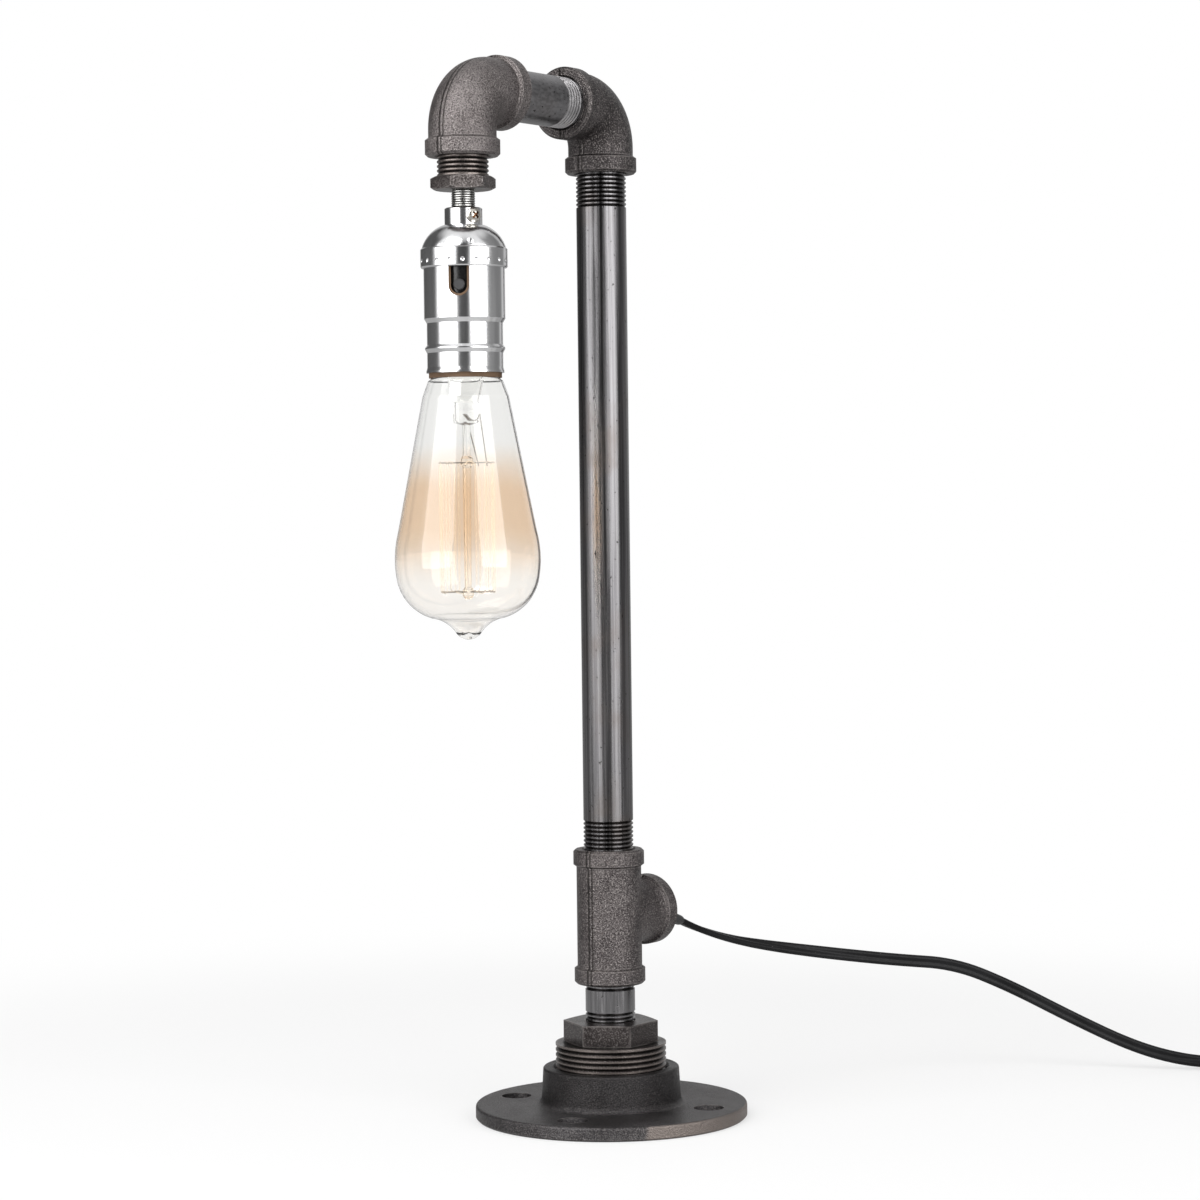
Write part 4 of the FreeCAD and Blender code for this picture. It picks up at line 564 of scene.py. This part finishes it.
@dataclass
class Lampholder:
    """The pressed aluminium lampholder and what is in it."""

    screw: Recess = field(default_factory=lambda: Recess((-95.3 * MM, 0.0, 379.75 * MM),
                                                         math.radians(248.5), 9.3 * MM, 1.75 * MM))

    def dress(self) -> None:
        """Give every piece of the lampholder its finish."""
        shell = BrightFinish("polished_aluminium", (0.86, 0.86, 0.87), 0.16)
        screw = BrightFinish("plated_screw", (0.72, 0.69, 0.63), 0.2, recess=self.screw)
        brass = BrightFinish("brass", (0.72, 0.53, 0.25), 0.28)
        fibre = MouldedFinish("fibre_liner", (0.075, 0.046, 0.028), (0.135, 0.086, 0.054),
                              0.7, 700.0, 0.00006, gloss=0.15)
        core = MouldedFinish("black_moulding", (0.006, 0.006, 0.006), (0.010, 0.010, 0.010), 0.16)
        stem = MouldedFinish("switch_black", (0.020, 0.020, 0.021), (0.034, 0.034, 0.035), 0.42)
        dress(shell.material(), "socket_cap", "socket_shell")
        dress(screw.material(), "cap_screw")
        dress(brass.material(), "screw_shell", "center_contact", "terminal_screws", "plug_blades")
        dress(fibre.material(), "shell_liner")
        dress(core.material(), "socket_core")
        dress(stem.material(), "switch_stem", "switch_cam")


@dataclass
class CageBulb:
    """The squirrel-cage bulb."""

    def dress(self) -> None:
        """Give every piece of the bulb its finish."""
        cap = BrightFinish("bulb_cap_metal", (0.70, 0.66, 0.58), 0.22)
        solder = BrightFinish("solder", (0.55, 0.55, 0.55), 0.38)
        wire = MouldedFinish("filament_wire", (0.66, 0.56, 0.42), (0.74, 0.64, 0.50), 0.5, gloss=0.1,
                             alpha=0.3)
        support = BrightFinish("support_metal", (0.30, 0.28, 0.26), 0.35)
        vitrite = MouldedFinish("vitrite", (0.02, 0.02, 0.03), (0.03, 0.03, 0.04), 0.12)
        dress(GlassFinish("amber_glass").material(), "bulb_glass")
        stem = GlassFinish("clear_glass", (0.90, 0.62, 0.30), high=(0.290, 0.276), low=(0.214, 0.222),
                           last=0.0, facing=0.25)
        dress(stem.material(), "bulb_stem")
        dress(cap.material(), "bulb_cap")
        dress(solder.material(), "bulb_tip")
        dress(wire.material(), "filament")
        dress(support.material(), "support_wires", "lead_wires")
        dress(vitrite.material(), "bulb_insulator")


@dataclass
class MainsLead:
    """The flat twin cord from the tee to its tied coil and plug."""

    width: float = 5.6 * MM
    thick: float = 2.8 * MM
    length: float = 1.769
    exit: tuple[float, float, float] = (0.0318, 0.0, 0.0829)
    outlet: float = 86.4 * MM
    centre: tuple[float, float] = (0.2354, -0.2282)
    coil_radius: float = 36.0 * MM
    turn_pitch: float = 6.5 * MM
    layer_pitch: float = 3.5 * MM
    foot: float = 2.8 * MM
    first_angle: float = math.radians(35.0)
    tail: float = 38.0 * MM
    tie_width: float = 9.0 * MM
    tie_thick: float = 1.0 * MM
    plug_thick: float = 17.0 * MM
    plug_width: float = 25.0 * MM
    plug_length: float = 27.0 * MM
    plug_neck: float = 12.0 * MM

    def route(self) -> list[tuple[float, float, float, float]]:
        """The free run. Returns: x, y, z in metres and the twist in degrees."""
        return [
            (*self.exit, 0.0),
            (0.0445, -0.0008, 0.0816, 0.0),
            (0.0590, -0.0040, 0.0746, 5.0),
            (0.0760, -0.0108, 0.0682, 15.0),
            (0.0940, -0.0190, 0.0636, 40.0),
            (0.1200, -0.0366, 0.0582, 75.0),
            (0.1460, -0.0565, 0.0534, 90.0),
            (0.1665, -0.0755, 0.0506, 90.0),
            (0.1830, -0.0950, 0.0396, 90.0),
            (0.2010, -0.1165, 0.0246, 90.0),
            (0.2175, -0.1390, 0.0110, 90.0),
            (0.2295, -0.1575, 0.0046, 80.0),
            (0.2410, -0.1735, 0.0028, 45.0),
            (0.2515, -0.1880, 0.0028, 12.0),
        ]

    def quarters(self) -> list[tuple[float, float]]:
        """The coil at each quarter turn. Returns: radius and height."""
        step = self.turn_pitch / 4.0
        climb = self.layer_pitch / 2.0
        radius, height = self.coil_radius, self.foot
        places = [(radius, height)]
        for number, (count, inward) in enumerate(((6, -1), (6, 1), (6, -1), (5, 1))):
            if number:
                places.append((radius - inward * step, height + climb))
                height += 2.0 * climb
                places.append((radius, height))
            for _ in range(count):
                radius += inward * step
                places.append((radius, height))
        return places

    def around(self, radius: float, angle: float, height: float) -> Vector:
        """A place of the coil. Returns: the point."""
        return Vector((self.centre[0] + radius * math.cos(angle),
                       self.centre[1] + radius * math.sin(angle), height))

    def coil(self) -> list[Vector]:
        """Control points of the turns and the tail. Returns: the points in order."""
        places = self.quarters()
        share = 4
        turn = math.pi / 2.0
        outset = 1.0 / (0.75 + 0.25 * math.cos(turn / share))
        points = []
        for index, (here, following) in enumerate(zip(places, places[1:])):
            for part in range(share):
                t = part / share
                radius = here[0] + (following[0] - here[0]) * t
                height = here[1] + (following[1] - here[1]) * t
                angle = self.first_angle - (index + t) * turn
                points.append(self.around(radius * outset, angle, height))
        end = self.first_angle - (len(places) - 1) * turn
        last = self.around(places[-1][0], end, places[-1][1])
        heading = self.heading()
        low = self.plug_thick / 2.0
        for reach, drop in ((0.0, 0.0), (0.3, 0.15), (0.62, 0.85), (0.85, 1.0), (1.0, 1.0)):
            spot = last + heading * (self.tail * reach)
            spot.z = last.z + (low - last.z) * drop
            points.append(spot)
        return points

    def heading(self) -> Vector:
        """Level direction of the tail into the plug. Returns: a unit vector."""
        return Vector((-math.cos(self.first_angle), -math.sin(self.first_angle), 0.0))

    def spline(self) -> bpy.types.Object:
        """The cord's own line, twisted as it lies. Returns: the curve object."""
        points = [(Vector(spot[:3]), math.radians(spot[3])) for spot in self.route()]
        points += [(spot, 0.0) for spot in self.coil()]
        curve = bpy.data.curves.new("cord_line", "CURVE")
        curve.dimensions = "3D"
        curve.twist_mode = "Z_UP"
        curve.resolution_u = 8
        line = curve.splines.new("NURBS")
        line.points.add(len(points) - 1)
        for knot, (spot, twist) in zip(line.points, points):
            knot.co = (*spot, 1.0)
            knot.tilt = twist
        line.order_u = 3
        line.use_endpoint_u = True
        item = bpy.data.objects.new("cord_line", curve)
        bpy.context.scene.collection.objects.link(item)
        return item

    def section_tree(self) -> bpy.types.NodeTree:
        """Geometry nodes that sweep two lobes and the web between them. Returns: the tree."""
        tree = bpy.data.node_groups.new("twin_cord", "GeometryNodeTree")
        face = tree.interface
        face.new_socket("Geometry", in_out="INPUT", socket_type="NodeSocketGeometry")
        for name in ("Width", "Thickness", "Web"):
            face.new_socket(name, in_out="INPUT", socket_type="NodeSocketFloat")
        face.new_socket("Finish", in_out="INPUT", socket_type="NodeSocketMaterial")
        face.new_socket("Geometry", in_out="OUTPUT", socket_type="NodeSocketGeometry")
        nodes, links = tree.nodes, tree.links
        given = nodes.new("NodeGroupInput").outputs
        result = nodes.new("NodeGroupOutput")

        def maths(operation: str, first: object, second: object = 0.0) -> Socket:
            """A sum on one or two values. Returns: its result."""
            node = nodes.new("ShaderNodeMath")
            node.operation = operation
            for socket, value in zip(node.inputs, (first, second)):
                if isinstance(value, bpy.types.NodeSocket):
                    links.new(value, socket)
                else:
                    socket.default_value = value
            return node.outputs[0]

        ring = nodes.new("GeometryNodeCurvePrimitiveCircle")
        ring.inputs["Resolution"].default_value = 28
        ring.inputs["Radius"].default_value = 1.0
        where = nodes.new("GeometryNodeInputPosition")
        parts = nodes.new("ShaderNodeSeparateXYZ")
        links.new(where.outputs[0], parts.inputs[0])
        half = maths("MULTIPLY", given["Thickness"], 0.5)
        lobe = maths("SUBTRACT", maths("MULTIPLY", given["Width"], 0.5), half)
        x = maths("MULTIPLY", parts.outputs["X"], maths("MULTIPLY", given["Width"], 0.5))
        off = maths("DIVIDE", maths("SUBTRACT", maths("ABSOLUTE", x), lobe), half)
        left = maths("SUBTRACT", 1.0, maths("MULTIPLY", off, off))
        round_height = maths("SQRT", maths("MAXIMUM", left, 0.0))
        inside = maths("LESS_THAN", off, 0.0)
        tall = maths("MAXIMUM", round_height, maths("MULTIPLY", inside, given["Web"]))
        y = maths("MULTIPLY", maths("MULTIPLY", tall, half), maths("SIGN", parts.outputs["Y"]))
        joined = nodes.new("ShaderNodeCombineXYZ")
        links.new(x, joined.inputs["X"])
        links.new(y, joined.inputs["Y"])
        shaped = nodes.new("GeometryNodeSetPosition")
        links.new(ring.outputs["Curve"], shaped.inputs["Geometry"])
        links.new(joined.outputs[0], shaped.inputs["Position"])
        sweep = nodes.new("GeometryNodeCurveToMesh")
        sweep.inputs["Fill Caps"].default_value = True
        links.new(given["Geometry"], sweep.inputs["Curve"])
        links.new(shaped.outputs["Geometry"], sweep.inputs["Profile Curve"])
        real = nodes.new("GeometryNodeRealizeInstances")
        links.new(sweep.outputs["Mesh"], real.inputs["Geometry"])
        coat = nodes.new("GeometryNodeSetMaterial")
        links.new(real.outputs["Geometry"], coat.inputs["Geometry"])
        links.new(given["Finish"], coat.inputs["Material"])
        links.new(coat.outputs["Geometry"], result.inputs["Geometry"])
        return tree

    def make_cord(self, finish: bpy.types.Material) -> None:
        """Args: finish: of the cord."""
        line = self.spline()
        graph = bpy.context.evaluated_depsgraph_get()
        plain = bpy.data.meshes.new_from_object(line.evaluated_get(graph))
        modifier = line.modifiers.new("twin_cord", "NODES")
        modifier.node_group = self.section_tree()
        values = {"Width": self.width, "Thickness": self.thick, "Web": 0.62, "Finish": finish}
        for item in modifier.node_group.interface.items_tree:
            if item.in_out == "INPUT" and item.name in values:
                modifier[item.identifier] = values[item.name]
        graph = bpy.context.evaluated_depsgraph_get()
        mesh = bpy.data.meshes.new_from_object(line.evaluated_get(graph))
        bpy.data.objects.remove(line)
        cord = add_piece(outward(mesh), "mains_cord", "base", finish,
                         ("cord_run", "cord_coil"))

    def make_relief(self, finish: bpy.types.Material) -> bpy.types.Object:
        """Rubber bushing in the tee's outlet with a tapered sleeve. Returns: the object."""
        out = Vector(self.exit)
        middle = Vector((out.x, 0.0, self.outlet))
        first, second = (Vector(spot[:3]) for spot in self.route()[1:3])
        last = (first + second) * 0.5
        rings = [(middle + Vector((along * MM, 0.0, 0.0)), radius * MM, 1.0) for along, radius in (
            (-7.2, 10.0), (-6.6, 10.6), (-1.4, 10.6), (-1.2, 12.6), (-0.3, 12.6), (0.0, 12.0))]
        for t, radius in ((0.03, 5.0), (0.2, 4.5), (0.42, 4.1), (0.64, 3.8), (0.84, 3.5),
                          (0.86, 3.2)):
            spot = out * (1.0 - t) ** 2 + first * (2.0 * t * (1.0 - t)) + last * t * t
            rings.append((spot, radius * MM, 0.66))
        mesh = lofted("cord_relief", [
            [spot + Vector((0.0, radius * math.cos(a), radius * flat * math.sin(a)))
             for a in (i * math.tau / 40 for i in range(40))] for spot, radius, flat in rings])
        return add_piece(mesh, "cord_relief", "base", finish, ("cord_grommet",))

    def make_tie(self, finish: bpy.types.Material) -> bpy.types.Object:
        """Strap round the turns, a closed band with rounded corners. Returns: the object."""
        radii = [radius for radius, _ in self.quarters()]
        inner = min(radii) - self.width / 2.0 - 0.8 * MM
        outer = max(radii) + self.width / 2.0 + 0.8 * MM
        high = self.foot + 3.0 * self.layer_pitch + self.thick / 2.0 + 0.8 * MM
        soft = 3.0 * MM
        path = []
        corners = ((outer, high, 0), (inner, high, 90), (inner, self.tie_thick, 180),
                   (outer, self.tie_thick, 270))
        for x, z, start in corners:
            mid_x = x - soft * math.copysign(1.0, x - (inner + outer) / 2.0)
            mid_z = z - soft * math.copysign(1.0, z - high / 2.0)
            for step in range(7):
                a = math.radians(start + 15.0 * step)
                path.append((Vector((mid_x, 0.0, mid_z)), Vector((math.cos(a), 0.0, math.sin(a)))))
        work = bmesh.new()
        half = self.tie_width / 2.0
        loops = []
        for middle, away in path:
            ring = []
            for side, lift in ((-1.0, 0.0), (-1.0, 0.75), (-0.86, 1.0), (0.86, 1.0), (1.0, 0.75),
                               (1.0, 0.0)):
                spot = middle + away * (soft + self.tie_thick * lift)
                ring.append(work.verts.new((spot.x, half * side, spot.z)))
            loops.append(ring)
        for one, two in zip(loops, loops[1:] + loops[:1]):
            for i in range(len(one)):
                j = (i + 1) % len(one)
                work.faces.new((one[i], one[j], two[j], two[i]))
        bmesh.ops.recalc_face_normals(work, faces=work.faces)
        turn = Matrix.Rotation(self.first_angle - math.radians(215.0), 4, "Z")
        bmesh.ops.transform(work, verts=work.verts,
                            matrix=Matrix.Translation((self.centre[0], self.centre[1], 0.0)) @ turn)
        mesh = bpy.data.meshes.new("cord_tie")
        work.to_mesh(mesh)
        work.free()
        return add_piece(mesh, "cord_tie", "base", finish, ("coil_tie",))

    def make_plug(self, finish: bpy.types.Material) -> bpy.types.Object:
        """Moulded plug with a ribbed neck and a waisted grip. Returns: the object."""
        places = self.quarters()
        start = self.around(places[-1][0], self.first_angle - (len(places) - 1) * math.pi / 2.0, 0.0)
        ahead = self.heading()
        side = Vector((-ahead.y, ahead.x, 0.0))
        entry = start + ahead * self.tail
        middle = self.plug_thick / 2.0
        root = self.plug_thick * 0.4
        thin = self.width / 2.0 + 0.6 * MM
        rings = []
        for step in range(25):
            t = step / 24.0
            rib = 0.5 * MM * math.cos(t * 5.0 * math.tau) if 0.02 < t < 0.98 else 0.0
            radius = thin + (root - thin) * t ** 0.8 - 0.5 * MM + rib
            rings.append((self.plug_neck * t, radius, radius, 2.0))
        for step in range(1, 31):
            t = step / 30.0
            waist = 1.0 - 0.13 * math.sin(min(t / 0.8, 1.0) * math.pi) ** 2
            wide = self.plug_width / 2.0 * min(0.72 + 0.35 * t, 1.0) * waist
            tall = min(middle, middle * (0.80 + 0.9 * t))
            end = math.sqrt(max(1.0 - (max(t - 0.93, 0.0) / 0.07) ** 2 * 0.12, 0.0))
            rings.append((self.plug_neck + self.plug_length * t, wide * end, tall * end, 3.6))
        count = 48
        skin = []
        for along, wide, tall, square in rings:
            ring = []
            for i in range(count):
                a = math.tau * i / count
                c, s = math.cos(a), math.sin(a)
                x = math.copysign(abs(c) ** (2.0 / square), c) * wide
                z = math.copysign(abs(s) ** (2.0 / square), s) * tall
                ring.append(entry + ahead * along + side * x + Vector((0.0, 0.0, middle + z)))
            skin.append(ring)
        return add_piece(lofted("plug_grip", skin), "plug_grip", "base", finish,
                         ("plug_body",))

    def build(self) -> None:
        black = MouldedFinish("cord_black", (0.008, 0.008, 0.0085), (0.013, 0.013, 0.014), 0.34,
                              gloss=0.12).material()
        rubber = MouldedFinish("rubber_black", (0.018, 0.018, 0.019), (0.028, 0.028, 0.029),
                               0.5).material()
        strap = MouldedFinish("tie_black", (0.02, 0.02, 0.021), (0.04, 0.04, 0.042), 0.75, 1600.0,
                              0.0001).material()
        dress(black, "riser_cord", "arm_cord", "head_cord", "socket_leads")
        self.make_relief(rubber)
        plug = self.make_plug(rubber)
        tie = self.make_tie(strap)
        self.make_cord(black)


@dataclass
class Studio:
    """Pale floor, soft lights and the camera at the photograph's place."""

    camera_at: tuple[float, float, float] = (-1.11996, -0.80286, 0.26560)
    ahead: tuple[float, float, float] = (0.81130, 0.58378, -0.03155)
    above: tuple[float, float, float] = (0.03240, 0.00898, 0.99943)
    lens: float = 96.53
    bands: tuple[tuple[float, float], ...] = (
        (0.045, 0.9), (0.055, 0.07), (0.138, 0.07), (0.148, 0.9), (0.285, 0.9), (0.305, 0.24),
        (0.45, 0.24), (0.48, 0.62), (0.635, 0.62), (0.67, 0.09), (0.855, 0.09), (0.875, 0.9))
    ends: float = 0.9

    def camera(self) -> None:
        """Place the camera."""
        data = bpy.data.cameras.new("camera")
        data.lens = self.lens
        data.sensor_width = 36.0
        data.clip_end = 30.0
        item = bpy.data.objects.new("camera", data)
        bpy.context.scene.collection.objects.link(item)
        back = -Vector(self.ahead).normalized()
        right = Vector(self.above).cross(back).normalized()
        above = back.cross(right)
        item.matrix_world = Matrix.Translation(self.camera_at) @ Matrix(
            (right, above, back)).transposed().to_4x4()
        bpy.context.scene.camera = item

    def light(self, name: str, place: tuple[float, float, float], size: tuple[float, float],
              power: float) -> None:
        """A soft box aimed at the lamp. Args: place: its middle; size: in metres; power: in watts."""
        data = bpy.data.lights.new(name, "AREA")
        data.shape = "RECTANGLE"
        data.size, data.size_y = size
        data.energy = power
        item = bpy.data.objects.new(name, data)
        bpy.context.scene.collection.objects.link(item)
        aim = Vector((0.0, 0.0, 0.24)) - Vector(place)
        item.rotation_euler = aim.to_track_quat("-Z", "Y").to_euler()
        item.location = place

    def floor(self) -> None:
        """White floor that keeps the shadow near the lamp and is plain white far off."""
        work = bmesh.new()
        bmesh.ops.create_grid(work, x_segments=1, y_segments=1, size=12.0)
        mesh = bpy.data.meshes.new("floor")
        work.to_mesh(mesh)
        work.free()
        item = bpy.data.objects.new("floor", mesh)
        bpy.context.scene.collection.objects.link(item)
        shader = Shader("floor_white")
        far = shader.span(shader.from_line(Run.UPRIGHT, (0.0, 0.0)), 0.22, 0.7)
        seen = self.seen(shader.nodes, shader.links)
        glow = shader.nodes.new("ShaderNodeEmission")
        path = shader.nodes.new("ShaderNodeLightPath")
        mirrored = shader.maths("GREATER_THAN", path.outputs["Is Glossy Ray"],
                                path.outputs["Is Transmission Ray"])
        shader.links.new(shader.span(mirrored, 0.0, 1.0, 1.0, 0.4), glow.inputs["Strength"])
        mixed = shader.nodes.new("ShaderNodeMixShader")
        shader.links.new(shader.maths("MULTIPLY", seen, shader.span(far, 0.0, 1.0, 0.6, 1.0)),
                         mixed.inputs["Fac"])
        shader.finish(Base_Color=(0.86, 0.86, 0.86), Roughness=0.8)
        shader.surface.inputs["Specular IOR Level"].default_value = 0.1
        shader.links.new(shader.surface.outputs["BSDF"], mixed.inputs[1])
        shader.links.new(glow.outputs["Emission"], mixed.inputs[2])
        shader.links.new(mixed.outputs["Shader"], shader.nodes["Material Output"].inputs["Surface"])
        mesh.materials.append(shader.material)
        item.location.z = -0.0002

    def seen(self, nodes: bpy.types.Nodes, links: bpy.types.NodeLinks) -> Socket:
        """Whether a ray is seen straight, by gloss or through glass. Returns: 0 or 1."""
        path = nodes.new("ShaderNodeLightPath")
        total = path.outputs["Is Camera Ray"]
        for name in ("Is Glossy Ray", "Is Transmission Ray"):
            more = nodes.new("ShaderNodeMath")
            more.operation = "MAXIMUM"
            links.new(total, more.inputs[0])
            links.new(path.outputs[name], more.inputs[1])
            total = more.outputs[0]
        return total

    def world(self) -> None:
        """White surroundings, with dark bands and a light ceiling for bright metal to mirror."""
        world = bpy.data.worlds.new("studio")
        world.use_nodes = True
        bpy.context.scene.world = world
        nodes, links = world.node_tree.nodes, world.node_tree.links
        plain = nodes["Background"]
        plain.inputs["Color"].default_value = (1.0, 1.0, 1.0, 1.0)
        plain.inputs["Strength"].default_value = 0.55
        white = nodes.new("ShaderNodeBackground")
        white.inputs["Color"].default_value = (1.0, 1.0, 1.0, 1.0)
        banded = nodes.new("ShaderNodeBackground")
        place = nodes.new("ShaderNodeTexCoord")
        split = nodes.new("ShaderNodeSeparateXYZ")
        links.new(place.outputs["Generated"], split.inputs[0])
        angle = nodes.new("ShaderNodeMath")
        angle.operation = "ARCTAN2"
        links.new(split.outputs["Y"], angle.inputs[0])
        links.new(split.outputs["X"], angle.inputs[1])
        turned = nodes.new("ShaderNodeMapRange")
        turned.inputs["From Min"].default_value = -math.pi
        turned.inputs["From Max"].default_value = math.pi
        links.new(angle.outputs[0], turned.inputs["Value"])
        bands = nodes.new("ShaderNodeValToRGB")
        links.new(turned.outputs["Result"], bands.inputs["Fac"])
        stops = bands.color_ramp.elements
        stops[0].position, stops[0].color = 0.0, (self.ends, self.ends, self.ends, 1.0)
        stops[1].position, stops[1].color = 1.0, (self.ends, self.ends, self.ends, 1.0)
        for position, level in self.bands:
            stop = stops.new(position)
            stop.color = (level, level, level, 1.0)
        ceiling = nodes.new("ShaderNodeMapRange")
        ceiling.interpolation_type = "SMOOTHSTEP"
        for name, number in (("From Min", 0.6), ("From Max", 0.95), ("To Min", 0.0),
                             ("To Max", 0.8)):
            ceiling.inputs[name].default_value = number
        links.new(split.outputs["Z"], ceiling.inputs["Value"])
        lifted = nodes.new("ShaderNodeMath")
        lifted.operation = "MAXIMUM"
        links.new(bands.outputs["Color"], lifted.inputs[0])
        links.new(ceiling.outputs["Result"], lifted.inputs[1])
        links.new(lifted.outputs[0], banded.inputs["Color"])
        path = nodes.new("ShaderNodeLightPath")
        bounced = nodes.new("ShaderNodeMath")
        bounced.operation = "GREATER_THAN"
        links.new(path.outputs["Is Glossy Ray"], bounced.inputs[0])
        links.new(path.outputs["Is Transmission Ray"], bounced.inputs[1])
        glossy = nodes.new("ShaderNodeMixShader")
        links.new(bounced.outputs[0], glossy.inputs["Fac"])
        links.new(white.outputs[0], glossy.inputs[1])
        links.new(banded.outputs[0], glossy.inputs[2])
        dimmed = nodes.new("ShaderNodeMapRange")
        dimmed.inputs["To Min"].default_value = 1.0
        dimmed.inputs["To Max"].default_value = 0.9
        links.new(path.outputs["Is Transmission Ray"], dimmed.inputs["Value"])
        links.new(dimmed.outputs["Result"], white.inputs["Strength"])
        shown = nodes.new("ShaderNodeMixShader")
        links.new(self.seen(nodes, links), shown.inputs["Fac"])
        links.new(plain.outputs[0], shown.inputs[1])
        links.new(glossy.outputs[0], shown.inputs[2])
        links.new(shown.outputs[0], nodes["World Output"].inputs["Surface"])

    def build(self) -> None:
        """Set up the camera, floor, lights and surroundings."""
        self.camera()
        self.floor()
        self.world()
        self.light("left_box", (-1.56, 0.36, 0.62), (1.55, 1.45), 18.5)
        self.light("right_box", (-0.34, -1.56, 0.62), (1.3, 1.45), 18.5)
        self.light("top_box", (-1.0, -0.05, 1.35), (0.7, 0.5), 8.0)
        bpy.context.scene.view_settings.view_transform = "Standard"
        log.info("studio: camera, floor and three lights")


def main() -> None:
    """Build the lamp's parts in order."""
    logging.basicConfig(level=logging.INFO, format="%(message)s")
    Studio().build()
    MainsLead().build()
    PipeWork().dress()
    Lampholder().dress()
    CageBulb().dress()


if __name__ == "__main__":
    main()
